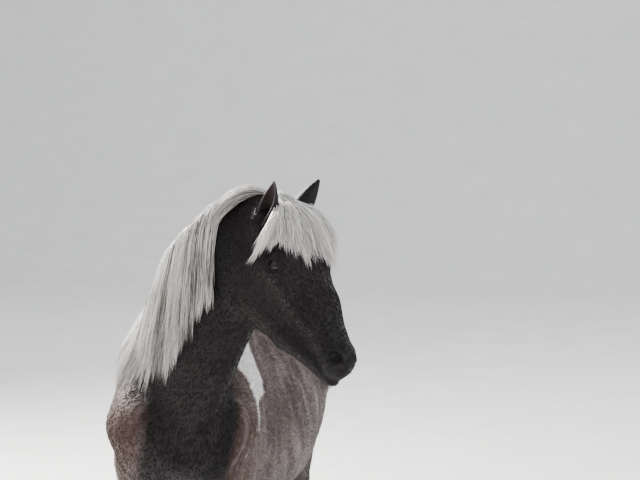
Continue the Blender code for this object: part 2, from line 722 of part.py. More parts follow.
def body_nodes(skin):
    nodes = {}
    neck_way = (0.0, -math.cos(NECK_RISE), math.sin(NECK_RISE))
    neck_point = tuple(Vector((0.0, *NECK_BASE)) + Vector(neck_way) * NECK_CUT)
    head_end = (0.0, HEAD_CUT, 1.500)
    ahead = (0.0, -1.0, 0.0)
    spare = 0.030

    def is_head(c):
        return (c[:, 1] < HEAD_CUT + spare) & (c[:, 2] > 1.0)

    def is_neck(c):
        return (up_neck(c) > NECK_CUT - spare) & (c[:, 1] > HEAD_CUT - spare) & (c[:, 2] > 0.80)

    def is_torso(c):
        behind = up_neck(c) < NECK_CUT + spare
        fore = (c[:, 1] < -0.30) & (c[:, 2] < FORE_CUT - spare)
        hind = (c[:, 1] > 0.34) & (c[:, 2] < HIND_CUT - spare)
        return behind & ~fore & ~hind

    nodes["head"] = piece("head", skin, is_head, 2600, [plane(head_end, ahead, -1.0)])
    cuts = [plane(head_end, ahead, 1.0), plane(neck_point, neck_way, -1.0)]
    nodes["neck"] = piece("neck", skin, is_neck, 900, cuts)
    cuts = [plane(neck_point, neck_way, 1.0)]
    down = Vector((0.0, 0.0, -1.0))
    for side in (1.0, -1.0):
        across = sorted((side * 0.005, side * 0.40))
        fore_box = ((across[0], -0.64, 0.55), (across[1], -0.30, 0.80))
        hind_box = ((across[0], 0.32, 0.55), (across[1], 0.85, 0.78))
        cuts.append(((0.0, 0.0, FORE_CUT + GAP / 2), down, fore_box))
        cuts.append(((0.0, 0.0, HIND_CUT + GAP / 2), down, hind_box))
    nodes["torso"] = piece("torso", skin, is_torso, 1900, cuts)

    for end, top, joint in (("fore", FORE_CUT, KNEE_CUT), ("hind", HIND_CUT, HOCK_CUT)):
        for word, side in (("left", 1.0), ("right", -1.0)):

            def on_leg(c, side=side, end=end):
                here = c[:, 1] < -0.29 if end == "fore" else c[:, 1] > 0.33
                return here & (c[:, 0] * side > 0.0)

            def is_upper(c, on_leg=on_leg, top=top, joint=joint):
                return on_leg(c) & (c[:, 2] < top + spare) & (c[:, 2] > joint - spare)

            def is_lower(c, on_leg=on_leg, joint=joint):
                return on_leg(c) & (c[:, 2] < joint + spare)

            up = Vector((0.0, 0.0, 1.0))
            cuts = [((0, 0, top - GAP / 2), up), ((0, 0, joint + GAP / 2), down)]
            label = f"{end}_upper_{word}"
            nodes[label] = piece(label, skin, is_upper, 420, cuts)
            place, lean = hoof_top(end, word)
            cuts = [((0, 0, joint - GAP / 2), up), (place + lean * GAP / 2, -lean)]
            label = f"{end}_lower_{word}"
            nodes[label] = piece(label, skin, is_lower, 430, cuts)
            label = f"{end}_hoof_{word}"
            nodes[label] = hoof(label, end, word)
    return nodes


def foot_place(end, word):
    """Where the middle of a hoof stands on the floor."""
    side = 1.0 if word == "left" else -1.0
    x, y = (FORE_X, FORE_Y) if end == "fore" else (HIND_X, HIND_Y)
    return side * x, y - 0.058 + STRIDE[f"{end}_{word}"]


def hoof_top(end, word):
    """The sloping plane where the coronet meets the hoof."""
    x, y = foot_place(end, word)
    return Vector((x, y, 0.068)), Vector((0.0, 0.42, 1.0)).normalized()


def hoof(name, end, word):
    """A hoof: a flat sole, a straight wall leaning back, and a sloping top."""
    x, y = foot_place(end, word)
    place, lean = hoof_top(end, word)
    around = 18
    narrow = 0.94 if end == "hind" else 1.0
    rings = []
    for height, grow in ((0.0, 0.96), (0.004, 1.0), (None, 0.80)):
        ring = []
        for i in range(around):
            t = 2.0 * math.pi * i / around
            out = math.sin(t)
            fore = -math.cos(t)
            reach = 0.068 if fore < 0 else 0.052
            px = x + 0.060 * narrow * grow * math.copysign(abs(out) ** 0.9, out)
            py = y + reach * grow * fore
            if height is None:
                py += 0.020
                pz = place.z - lean.y * (py - place.y) / lean.z - GAP / 2
            else:
                pz = height
            ring.append((px, py, pz))
        rings.append(ring)
    points = [p for ring in rings for p in ring]
    faces = []
    for level in range(2):
        for i in range(around):
            j = (i + 1) % around
            low, high = level * around, (level + 1) * around
            faces.append((low + i, low + j, high + j, high + i))
    faces.append(tuple(range(around)))
    faces.append(tuple(2 * around + i for i in range(around)))
    obj = mesh_object(name, points, faces)
    tidy(obj)
    return obj


def eye_place(side):
    return Vector(posed([head_point(EYE[0], EYE[1], EYE[2] * side)])[0])


def ball(name, centre, radius):
    bm = bmesh.new()
    bmesh.ops.create_uvsphere(bm, u_segments=12, v_segments=8, radius=radius)
    bmesh.ops.translate(bm, verts=bm.verts, vec=centre)
    bmesh.ops.triangulate(bm, faces=bm.faces)
    obj = mesh_object(name, np.zeros((0, 3)), [])
    store(bm, obj)
    return obj


def ear_points(side, rows=8, arc=8):
    """Both faces of a cupped ear in the straight pose, as rows of outer and inner points."""
    def place(v):
        return Vector(head_point(v[0], v[1], v[2] * side))

    def way(v):
        return Vector(head_way(v[0], v[1], v[2] * side)).normalized()

    root = place(EAR_ROOT)
    along = way((-0.36, 0.89, 0.03))
    open_to = way((-0.15, -0.07, 0.98))
    open_to = (open_to - along * open_to.dot(along)).normalized()
    across = along.cross(open_to)
    length = 0.137
    outer, inner = [], []
    for i in range(rows):
        t = i / (rows - 1)
        swell = math.sin(math.pi * min(0.30 + 0.72 * t, 1.0)) ** 0.75
        wide = 0.0040 + 0.0265 * swell
        deep = wide * (1.0 - 0.35 * t)
        gape = math.radians(38.0 + 52.0 * t)
        wall = 0.0040 + 0.010 * (1.0 - t) ** 3
        bend = 0.014 * t * t
        middle = root + along * (t * length) + open_to * (bend - 0.3 * deep)
        row_out, row_in = [], []
        for j in range(arc):
            phi = math.pi + (2.0 * j / (arc - 1) - 1.0) * (math.pi - gape)
            ray = open_to * math.cos(phi) * deep + across * math.sin(phi) * wide
            size = max(ray.length, 1e-6)
            row_out.append(middle + ray)
            row_in.append(middle + ray * max(0.15, 1.0 - wall / size))
        outer.append(row_out)
        inner.append(row_in)
    return outer, inner


def shell_faces(rows, columns):
    """Quads of a closed slab whose first rows * columns points are outside, the rest inside."""
    size = rows * columns
    faces = []
    for i in range(rows - 1):
        for j in range(columns - 1):
            a, b = i * columns + j, i * columns + j + 1
            c, d = b + columns, a + columns
            faces.append((a, b, c, d))
            faces.append((size + a, size + d, size + c, size + b))
    rim = [(i, 0) for i in range(rows)] + [(rows - 1, j) for j in range(1, columns)]
    rim += [(i, columns - 1) for i in range(rows - 2, -1, -1)] + [(0, j) for j in range(columns - 2, 0, -1)]
    for (i, j), (k, m) in zip(rim, rim[1:] + rim[:1]):
        a, b = i * columns + j, k * columns + m
        faces.append((a, b, size + b, size + a))
    return faces


def slab(name, outer, inner):
    """A closed solid between two sheets of points, given in the straight pose."""
    rows, columns = len(outer), len(outer[0])
    points = posed([p for sheet in (outer, inner) for row in sheet for p in row])
    obj = mesh_object(name, points, shell_faces(rows, columns))
    bm = editing(obj)
    bmesh.ops.triangulate(bm, faces=bm.faces)
    bmesh.ops.recalc_face_normals(bm, faces=bm.faces)
    store(bm, obj)
    return obj


def gradient(field, p):
    step = 0.004
    out = np.empty_like(p)
    for k in range(3):
        more, less = p.copy(), p.copy()
        more[:, k] += step
        less[:, k] -= step
        out[:, k] = field.at(more) - field.at(less)
    return out / (np.linalg.norm(out, axis=1, keepdims=True) + 1e-9)


def fall(field, roots, way, pull, lengths, lift, steps):
    """Paths of hair: each leaves its root, is drawn by the pull, and lies lift above the skin."""
    p = np.array(roots, float)
    v = np.array(way, float)
    lengths = np.asarray(lengths, float)[:, None]
    pull = np.asarray(pull, float) * lengths / steps
    lift = np.broadcast_to(lift, (steps, len(p)))
    path = [p]
    for i in range(steps):
        v = v + pull
        v /= np.linalg.norm(v, axis=1, keepdims=True)
        q = p + v * lengths / steps
        for _ in range(4):
            short = np.maximum(lift[i] - field.at(q), 0.0)[:, None]
            q = q + gradient(field, q) * short
        v = q - p
        v /= np.linalg.norm(v, axis=1, keepdims=True) + 1e-9
        p = q
        path.append(p)
    return np.stack(path, 1)


def crest_at(field, y):
    """The height of the skin on the middle line, over places along the neck and withers."""
    y = np.asarray(y, float)
    z = np.interp(y, [row[0] for row in NECK][::-1], [row[1] for row in NECK][::-1]) + 0.04
    for _ in range(6):
        z = z - field.at(np.stack([0.0 * y, y, z], 1))
    return z


def spread(count, low=0.0, high=1.0):
    return low + (high - low) * (np.arange(count) + 0.5) / count


def mane_paths(field, ys, lifts, steps, shorten=1.0, side=-1.0):
    """Hair from the crest, over to one side of the neck and down."""
    ys = np.asarray(ys, float)
    roots = np.stack([np.zeros_like(ys), ys, crest_at(field, ys) + 0.003], 1)
    way = np.tile([side, 0.0, 0.10], (len(ys), 1))
    if side < 0:
        share = (ys - MANE[0]) / (MANE[1] - MANE[0])
        lengths = np.interp(share, (0.0, 0.08, 0.30, 0.50, 0.85, 1.0), (0.33, 0.38, 0.49, 0.48, 0.40, 0.24))
    else:
        lengths = np.full_like(ys, 0.30)
    return fall(field, roots, way, (0.5, -1.2, -24.0), lengths * shorten, lifts, steps)


def forelock_paths(field, spots, lifts, steps, shorten=1.0):
    """Hair from the poll between the ears, fanned forward over the forehead."""
    spots = np.asarray(spots, float)
    roots, ways = [], []
    for side, back in spots:
        near = max(abs(side) - 0.3, 0.0)
        roots.append(head_point(0.020 + 0.030 * near + 0.035 * back * (1.0 - near), 0.066, 0.034 * side))
        ways.append(Vector(head_way(0.55 + 0.8 * near, 0.40, 1.00 * side)).normalized())
    side = spots[:, 0]
    lengths = np.interp(side, (-1.0, -0.75, -0.45, 0.0, 0.3, 1.0), (0.190, 0.155, 0.180, 0.260, 0.255, 0.185))
    lengths = lengths * shorten
    pull = np.stack([0.0 * side, -1.5 + 22.0 * np.maximum(-side - 0.45, 0.0), -11.0 + 0.0 * side], 1)
    return fall(field, roots, ways, pull, lengths, lifts, steps)


def tail_paths(angles, radius, steps, shorten=1.0):
    """Hair from the dock, down behind the legs."""
    angles = np.asarray(angles, float)
    radius = np.broadcast_to(radius, angles.shape)
    t = np.linspace(0.0, 1.0, steps + 1)[None, :] * np.broadcast_to(shorten, angles.shape)[:, None]
    drop = TAIL_TOP - (TAIL_TOP - TAIL_TIP) * np.clip(t * 1.08 - 0.08, 0.0, 1.0)
    behind = 0.700 + 0.150 * smoothstep(t / 0.32) - 0.045 * smoothstep((t - 0.35) / 0.65)
    rise = 0.022 * np.sin(math.pi * np.clip(t / 0.22, 0.0, 1.0))
    swell = np.interp(t, (0.0, 0.10, 0.45, 0.75, 1.0), (0.030, 0.052, 0.092, 0.080, 0.034))
    out = swell * radius[:, None]
    x = np.cos(angles)[:, None] * out
    y = behind + np.sin(angles)[:, None] * out * 0.75
    z = drop + rise + 0.0 * x
    return np.stack([x, y, z], 2)


def tube(name, rings):
    """A closed solid through rings of points, given in the straight pose."""
    rows, around = len(rings), len(rings[0])
    points = posed([p for ring in rings for p in ring])
    faces = [tuple(range(around)), tuple((rows - 1) * around + i for i in range(around))]
    for i in range(rows - 1):
        for j in range(around):
            k = (j + 1) % around
            faces.append((i * around + j, i * around + k, (i + 1) * around + k, (i + 1) * around + j))
    obj = mesh_object(name, points, faces)
    bm = editing(obj)
    bmesh.ops.triangulate(bm, faces=bm.faces)
    bmesh.ops.recalc_face_normals(bm, faces=bm.faces)
    store(bm, obj)
    return obj


def lock(path, faces_out, wide, thick, root=0.75):
    """A flat lock along a path, with a flat underside, a low ridge above and a fine tip."""
    path = np.asarray(path)
    along = np.gradient(path, axis=0)
    along /= np.linalg.norm(along, axis=1, keepdims=True)
    across = np.cross(along, faces_out)
    across /= np.linalg.norm(across, axis=1, keepdims=True)
    up = np.cross(across, along)
    t = np.linspace(0.0, 1.0, len(path))
    taper = np.interp(t, (0.0, 0.35, 0.70, 1.0), (root, 1.0, 0.72, 0.08))[:, None]
    half = across * wide / 2 * taper
    ridge = up * thick * np.maximum(taper, 0.25)
    rings = np.stack([path - half - ridge * 0.3, path + ridge * 0.7, path + half - ridge * 0.3], 1)
    return tube("lock", rings)


def fused(name, solids):
    """Joins closed solids into one by a single union."""
    first, rest = solids[0], solids[1:]
    group = bpy.data.collections.new(name)
    for obj in rest:
        group.objects.link(obj)
    change = first.modifiers.new("join", "BOOLEAN")
    change.operation = "UNION"
    change.operand_type = "COLLECTION"
    change.collection = group
    change.solver = "MANIFOLD"
    applied(first)
    discard(*rest)
    bpy.data.collections.remove(group)
    first.name = name
    tidy(first)
    return first


def outward(field, paths):
    """The skin's own direction beside every point of some paths, smoothed along each."""
    flat = paths.reshape(-1, 3)
    out = gradient(field, flat).reshape(paths.shape)
    for _ in range(2):
        out[:, 1:-1] = out[:, :-2] + out[:, 1:-1] + out[:, 2:]
        out /= np.linalg.norm(out, axis=2, keepdims=True) + 1e-9
    out[:, -1] = out[:, -2]
    return out


def locks(field, paths, wide, thick, sway, rng):
    """Locks along paths that lie on the skin, each swaying a little on its way."""
    faces_out = outward(field, paths)
    t = np.linspace(0.0, 1.0, paths.shape[1])[:, None]
    solids = []
    for path, out in zip(paths, faces_out):
        along = np.gradient(path, axis=0)
        across = np.cross(along, out)
        across /= np.linalg.norm(across, axis=1, keepdims=True) + 1e-9
        phase, turns = rng.uniform(0.0, 2.0 * math.pi), rng.uniform(0.7, 1.3)
        swing = np.sin(phase + t * turns * 2.0 * math.pi) * t
        size = rng.uniform(0.85, 1.15)
        solids.append(lock(path + across * swing * sway, out, wide * size, thick))
    return solids


def alternate(count, lift, steps, rng):
    """How far each lock of a layer lies off the skin, every second one a little further."""
    return lift + 0.004 * (np.arange(count) % 2) + rng.uniform(-0.001, 0.001, (steps, count))


def mane_side(field, side, ends, layers, rng):
    """The core and the locks of the hair that falls to one side of the neck."""
    rows = 6 if side < 0 else 3
    steps = 2
    ys = np.linspace(*ends, rows)
    outer = mane_paths(field, ys, np.full((steps, 1), 0.016), steps, CORE_REACH, side)
    inner = mane_paths(field, ys, np.full((steps, 1), -0.004), steps, CORE_REACH, side)
    outer[:, 0] += (-0.016 * side, 0.0, 0.007)
    inner[:, 0] += (-0.016 * side, 0.0, -0.014)
    solids = [slab("core", outer, inner)]
    steps = 4
    span = ends[1] - ends[0]
    for layer, (count, lift, longer) in enumerate(layers):
        ys = ends[0] + span * (np.arange(count) + 0.25 + 0.5 * layer) / count
        lifts = alternate(count, lift, steps, rng)
        lengths = longer * rng.uniform(0.90, 1.05, count)
        paths = mane_paths(field, ys, lifts, steps, lengths, side)
        solids += locks(field, paths, 1.45 * span / count, 0.013, 0.010, rng)
    return solids


def mane(field, nodes):
    """Two layers of locks over a short core to the right, and a few behind the ears to the left."""
    rng = np.random.default_rng(3)
    solids = mane_side(field, -1.0, MANE, MANE_LAYERS, rng)
    solids += mane_side(field, 1.0, MANE_LEFT, MANE_LEFT_LAYERS, rng)
    return carved_by(fused("mane", solids), [nodes["neck"], nodes["torso"], nodes["head"]], 2 * GAP, FLAT)


def forelock(field, nodes):
    """Two layers of locks over a short core between the ears."""
    rng = np.random.default_rng(5)
    across = np.linspace(-1.0, 1.0, 5)
    spots = np.stack([across, 0.0 * across], 1)
    steps = 2
    outer = forelock_paths(field, spots, np.full((steps, 1), 0.016), steps, CORE_REACH)
    inner = forelock_paths(field, spots, np.full((steps, 1), 0.001), steps, CORE_REACH)
    inner[:, 0] = [Vector(p) - Vector(head_way(0, 0.024)) for p in inner[:, 0]]
    solids = [slab("core", outer, inner)]
    steps = 4
    for count, lift, longer in FORELOCK_LAYERS:
        across = np.linspace(-1.0, 1.0, count) * 0.98
        spots = np.stack([across, rng.uniform(-0.3, 0.3, count)], 1)
        lengths = longer * rng.uniform(0.86, 1.06, count)
        paths = forelock_paths(field, spots, alternate(count, lift, steps, rng), steps, lengths)
        solids += locks(field, paths, 0.050, 0.014, 0.006, rng)
    near = [nodes[name] for name in ("head", "ear_left", "ear_right", "mane", "neck")]
    return carved_by(fused("forelock", solids), near, 2 * GAP, FLAT)


def tail(nodes):
    """Two rings of locks round a short core below the dock."""
    rng = np.random.default_rng(7)
    angles = spread(8, 0.0, 2.0 * math.pi)
    rings = tail_paths(angles, 0.80, 5, 0.48).transpose(1, 0, 2)
    solids = [tube("core", rings)]
    steps = 6
    for count, radius, longer in TAIL_LAYERS:
        angles = spread(count, 0.0, 2.0 * math.pi) + rng.uniform(-0.10, 0.10, count)
        lengths = longer * rng.uniform(0.90, 1.03, count)
        paths = tail_paths(angles, radius * rng.uniform(0.96, 1.04, count), steps, lengths)
        middle = tail_paths(angles, 0.0, steps, lengths)
        wide = 2.3 * math.pi * 0.090 * radius / count
        for path, centre in zip(paths, middle):
            solids.append(lock(path, path - centre, wide, 0.020, 0.35))
    return carved_by(fused("tail", solids), [nodes["torso"]], 2 * GAP, FLAT)


LOOKS = {
    "coat": ((0.030, 0.024, 0.024), 0.55),
    "eye": ((0.010, 0.007, 0.006), 0.05),
    "hoof": ((0.110, 0.090, 0.075), 0.45),
    "mane": ((0.560, 0.530, 0.510), 0.50),
    "forelock": ((0.600, 0.580, 0.560), 0.50),
    "tail": ((0.520, 0.490, 0.470), 0.50),
}


def paint(obj, name, colour, rough):
    mat = bpy.data.materials.new(name)
    mat.use_nodes = True
    shader = mat.node_tree.nodes["Principled BSDF"]
    shader.inputs["Base Color"].default_value = (*colour, 1.0)
    shader.inputs["Roughness"].default_value = rough
    obj.data.materials.clear()
    obj.data.materials.append(mat)


def settle(nodes):
    """Puts the origin on the floor under the middle of the whole model."""
    spans = [[v.co for v in obj.data.vertices] for obj in nodes.values()]
    for k in range(2):
        low = min(co[k] for span in spans for co in span)
        high = max(co[k] for span in spans for co in span)
        middle = (low + high) / 2
        for span in spans:
            for co in span:
                co[k] -= middle


def main():
    for obj in list(bpy.data.objects):
        bpy.data.objects.remove(obj)
    xs = graded((0.0, 0.175, 0.40), (0.0046, 0.012))
    ys = graded((-1.42, -0.86, 0.82), (0.0046, 0.012))
    zs = graded((0.0, 1.14, 1.74), (0.011, 0.0046))
    field = body_field(xs, ys, zs)
    points, quads = surface(field)
    middles = points[quads].mean(axis=1)
    skin = (points, quads, middles, posed(points))
    nodes = body_nodes(skin)
    for word, side in (("left", 1.0), ("right", -1.0)):
        socket = ball("socket", eye_place(side), EYE_BALL + 1.2 * GAP)
        boolean(nodes["head"], socket, "DIFFERENCE")
        discard(socket)
        nodes[f"eye_{word}"] = ball(f"eye_{word}", eye_place(side), EYE_BALL)
    tidy(nodes["head"])
    for word, side in (("left", 1.0), ("right", -1.0)):
        outer, inner = ear_points(side)
        nodes[f"ear_{word}"] = slab(f"ear_{word}", outer, inner)
        carved_by(nodes[f"ear_{word}"], [nodes["head"]], 1.5 * GAP)
    nodes["mane"] = mane(field, nodes)
    nodes["forelock"] = forelock(field, nodes)
    nodes["tail"] = tail(nodes)
    settle(nodes)
    for name, obj in nodes.items():
        kind = next((k for k in LOOKS if k in name), "coat")
        paint(obj, name, *LOOKS[kind])


if __name__ == "__main__":
    main()
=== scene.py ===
"""How the Icelandic horse looks: skin, coat, mane, forelock, tail, eyes and hooves round its solids.

The body is described straight and symmetric, facing -Y, and then bent as the solids are: all places
and directions below are of that straight horse until posed() turns them. Metres, +Z up.
"""

import math

import bmesh
import bpy
import numpy as np
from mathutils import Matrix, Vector


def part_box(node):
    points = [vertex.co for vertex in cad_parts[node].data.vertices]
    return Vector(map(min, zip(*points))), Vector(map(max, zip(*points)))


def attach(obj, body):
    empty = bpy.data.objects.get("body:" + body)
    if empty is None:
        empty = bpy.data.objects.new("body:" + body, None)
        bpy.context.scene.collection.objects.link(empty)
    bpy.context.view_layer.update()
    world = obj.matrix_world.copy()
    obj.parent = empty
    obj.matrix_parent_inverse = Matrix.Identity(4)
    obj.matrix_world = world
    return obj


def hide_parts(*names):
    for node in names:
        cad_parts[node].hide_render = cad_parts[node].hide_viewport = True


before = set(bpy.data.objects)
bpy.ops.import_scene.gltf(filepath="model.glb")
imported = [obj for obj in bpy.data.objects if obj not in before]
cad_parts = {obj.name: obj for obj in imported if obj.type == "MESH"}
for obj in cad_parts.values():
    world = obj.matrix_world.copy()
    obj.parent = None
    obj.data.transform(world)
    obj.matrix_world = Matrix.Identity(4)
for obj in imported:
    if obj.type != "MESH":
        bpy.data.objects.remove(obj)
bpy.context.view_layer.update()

# Head and neck: how steeply the head hangs, where poll and neck begin, and how each part turns.
HEAD_PITCH = math.radians(55.0)
POLL = (-0.926, 1.612)
NECK_BASE = (-0.520, 1.150)
NECK_RISE = math.radians(30.0)
NECK_RUN = 0.763
CHEST_TURN = math.radians(7.0)
NECK_TURN = math.radians(33.5)
HEAD_TURN = math.radians(15.5)
# How far the shoulders are carried to the right as the neck bends left, and where that fades out.
SWAY = 0.026
SWAY_FADE = 0.45

# Places on the head, as head_point takes them, and the sizes of the eyeball and its lids.
EYE = (0.192, 0.016, 0.075)
EYE_BALL = 0.0215
LID = 0.0256
EAR_ROOT = (0.062, 0.018, 0.069)
EAR_LENGTH = 0.137
EAR_WIDTH = 0.0265
NOSTRIL = (0.483, 0.024, 0.041)

# Where each leg stands, and how far it steps back from there.
FORE_X = 0.120
FORE_Y = -0.455
HIND_X = 0.130
HIND_Y = 0.630
STRIDE = {"fore_left": -0.010, "fore_right": 0.035, "hind_left": -0.025, "hind_right": 0.045}

# Where the mane grows along the crest on each side, and how high the tail starts and ends.
MANE = (-0.820, -0.300)
MANE_LEFT = (-0.900, -0.790)
TAIL_TOP = 1.125
TAIL_TIP = 0.170

# The plane behind which the neck begins.
HEAD_CUT = -0.885

# A hoof: how far ahead of its leg it stands, how high the coronet is and how steeply it slopes.
HOOF_AHEAD = 0.058
CORONET = 0.068
CORONET_SLOPE = 0.42
# How high the skin of a leg ends inside its hoof.
FOOT_END = 0.058

# Grid of the skin: cells of the head and of the rest, and how deep the coat is over it.
FINE_CELL = 0.0036
CELL = 0.0088
COAT = 0.0045
FACE_COAT = 0.0012

# The unwrap: tiles on a side, the border kept free in each, and how large one tuft's patch is.
TILES = 6
TILE_PAD = 0.02
PATCH = 0.003

# How many tufts each piece of coat has.
COAT_PIECES = 3
BODY_TUFTS = 46000
FACE_TUFTS = 26000
# How far the coat keeps off the middle of the eye.
EYE_CLEAR = 0.021

# The photograph's view: a long lens far off, a little above the horse's back.
PHOTO = (640, 480)
FOCAL = 2000.0
HORIZON = 110.0
VIEW_TURN = math.radians(9.2)
VIEW_SIDE = -0.388
VIEW_DEPTH = 5.747
VIEW_HEIGHT = 1.875
VIEW_MARK = (0.0, -0.52)
SENSOR = 36.0


def smoothstep(t):
    t = np.clip(t, 0.0, 1.0)
    return t * t * (3.0 - 2.0 * t)


def through(stations, column):
    """A smooth curve through one column of a table of stations, as a function of the first."""
    at = np.array([row[0] for row in stations])
    value = np.array([row[column] for row in stations])
    slope = np.gradient(value, at)

    def curve(y):
        i = np.clip(np.searchsorted(at, y) - 1, 0, len(at) - 2)
        span = at[i + 1] - at[i]
        t = np.clip((y - at[i]) / span, 0.0, 1.0)
        rise = value[i + 1] - value[i]
        return (
            value[i]
            + rise * t * t * (3.0 - 2.0 * t)
            + span * slope[i] * t * (1.0 - t) ** 2
            - span * slope[i + 1] * t * t * (1.0 - t)
        )

    return curve


# How far beyond a shape and its fillet the field is worked out again.
JOIN_MARGIN = 0.02
CUT_MARGIN = 0.01


class Field:
    """How far each point of a grid lies from the skin, negative inside. Only the left half is kept."""

    def __init__(self, xs, ys, zs):
        self.axes = [np.asarray(a, np.float32) for a in (xs, ys, zs)]
        self.d = np.full([len(a) for a in self.axes], 1.0, np.float32)

    def window(self, low, high):
        spans = []
        for axis, lo, hi in zip(self.axes, low, high):
            spans.append(slice(int(np.searchsorted(axis, lo)), int(np.searchsorted(axis, hi))))
        return tuple(spans)

    def points(self, spans):
        x = self.axes[0][spans[0]][:, None, None]
        y = self.axes[1][spans[1]][None, :, None]
        z = self.axes[2][spans[2]][None, None, :]
        return x, y, z

    def add(self, shape, low, high, blend, cut=False):
        """Adds a shape with a smooth fillet of about blend, or takes it away."""
        margin = blend + (CUT_MARGIN if cut else JOIN_MARGIN)
        spans = self.window([v - margin for v in low], [v + margin for v in high])
        if any(s.stop <= s.start for s in spans):
            return
        new = shape(*self.points(spans)) * (-1.0 if cut else 1.0)
        old = self.d[spans]
        near = np.maximum(blend - np.abs(old - new), 0.0) / blend
        fillet = near * near * blend * 0.25
        self.d[spans] = np.maximum(old, new) + fillet if cut else np.minimum(old, new) - fillet

    def at(self, p):
        """The field at points of the left half, between the grid's samples."""
        p = np.array(p, np.float64)
        p[:, 0] = np.abs(p[:, 0])
        low, share = [], []
        for axis, v in zip(self.axes, p.T):
            i = np.clip(np.searchsorted(axis, v) - 1, 0, len(axis) - 2)
            low.append(i)
            share.append(np.clip((v - axis[i]) / (axis[i + 1] - axis[i]), 0.0, 1.0))
        total = 0.0
        for corner in range(8):
            bits = [(corner >> k) & 1 for k in range(3)]
            weight = 1.0
            for k in range(3):
                weight = weight * (share[k] if bits[k] else 1.0 - share[k])
            total = total + weight * self.d[low[0] + bits[0], low[1] + bits[1], low[2] + bits[2]]
        return total


def frame_of(axis, up):
    """Three unit vectors: along the axis, sideways, and up as near as it can be."""
    a = Vector(axis).normalized()
    s = a.cross(Vector(up)).normalized()
    return a, s, s.cross(a)


def limb(field, a, b, ra, rb, blend=0.03, up=(0, 0, 1), cut=False, both=True):
    """A tapered limb from a to b. Each radius is one number or a (sideways, upwards) pair."""
    ra = ra if isinstance(ra, tuple) else (ra, ra)
    rb = rb if isinstance(rb, tuple) else (rb, rb)
    widest = max(ra + rb)
    for sign in (1.0, -1.0) if both else (1.0,):
        pa = Vector((a[0] * sign, a[1], a[2]))
        pb = Vector((b[0] * sign, b[1], b[2]))
        if sign < 0 and max(pa.x, pb.x) + widest < 0:
            continue
        axis, side, top = frame_of(pb - pa, (up[0] * sign, up[1], up[2]))
        length = (pb - pa).length

        def shape(x, y, z, pa=pa, axis=axis, side=side, top=top, length=length):
            dx, dy, dz = x - pa.x, y - pa.y, z - pa.z
            along = dx * axis.x + dy * axis.y + dz * axis.z
            t = np.clip(along / length, 0.0, 1.0)
            w = ra[0] + (rb[0] - ra[0]) * t
            h = ra[1] + (rb[1] - ra[1]) * t
            over = along - t * length
            s = dx * side.x + dy * side.y + dz * side.z
            u = dx * top.x + dy * top.y + dz * top.z
            m = (w + h) * 0.5
            k0 = np.sqrt((s / w) ** 2 + (u / h) ** 2 + (over / m) ** 2) + 1e-6
            k1 = np.sqrt((s / w**2) ** 2 + (u / h**2) ** 2 + (over / m**2) ** 2) + 1e-6
            return k0 * (k0 - 1.0) / k1

        low = [min(p, q) - widest for p, q in zip(pa, pb)]
        high = [max(p, q) + widest for p, q in zip(pa, pb)]
        field.add(shape, low, high, blend, cut)


def lump(field, centre, radii, blend=0.03, along=(0, 1, 0), up=(0, 0, 1), cut=False):
    """An ellipsoid. Its radii run along its axis, sideways and upwards."""
    widest = max(radii)
    for sign in (1.0, -1.0):
        c = Vector((centre[0] * sign, centre[1], centre[2]))
        if sign < 0 and (c.x + widest < 0 or centre[0] == 0):
            continue
        flip = Vector((sign, 1, 1))
        axis, side, top = frame_of(Vector(along) * flip, Vector(up) * flip)

        def shape(x, y, z, c=c, axis=axis, side=side, top=top):
            dx, dy, dz = x - c.x, y - c.y, z - c.z
            k0 = k1 = 0.0
            for r, v in zip(radii, (axis, side, top)):
                part = (dx * v.x + dy * v.y + dz * v.z) / r
                k0 = k0 + part**2
                k1 = k1 + (part / r) ** 2
            k0, k1 = np.sqrt(k0) + 1e-6, np.sqrt(k1) + 1e-6
            return k0 * (k0 - 1.0) / k1

        field.add(shape, [v - widest for v in c], [v + widest for v in c], blend, cut)


TRUNK = (
    # y, top, bottom, widest at, half width, roundness above and below
    (-0.690, 1.060, 0.870, 0.950, 0.062, 2.0, 2.1),
    (-0.600, 1.220, 0.800, 0.950, 0.130, 2.0, 2.2),
    (-0.480, 1.335, 0.760, 0.950, 0.170, 1.8, 2.3),
    (-0.360, 1.368, 0.738, 0.940, 0.205, 1.7, 2.4),
    (-0.220, 1.352, 0.705, 0.930, 0.244, 1.8, 2.6),
    (-0.060, 1.322, 0.668, 0.920, 0.274, 2.0, 2.8),
    (0.100, 1.315, 0.648, 0.930, 0.286, 2.1, 2.8),
    (0.240, 1.322, 0.680, 0.950, 0.276, 2.15, 2.7),
    (0.380, 1.322, 0.780, 1.000, 0.250, 2.1, 2.3),
    (0.520, 1.275, 0.880, 1.050, 0.215, 2.0, 2.1),
    (0.640, 1.180, 0.960, 1.060, 0.145, 2.0, 2.1),
    (0.705, 1.110, 1.020, 1.065, 0.070, 2.0, 2.1),
)

NECK = (
    # crest y and z, throat y and z, half width
    (-0.330, 1.350, -0.685, 0.930, 0.118),
    (-0.480, 1.424, -0.750, 1.075, 0.102),
    (-0.620, 1.508, -0.796, 1.205, 0.088),
    (-0.755, 1.584, -0.850, 1.302, 0.079),
    (-0.870, 1.632, -0.908, 1.368, 0.075),
)


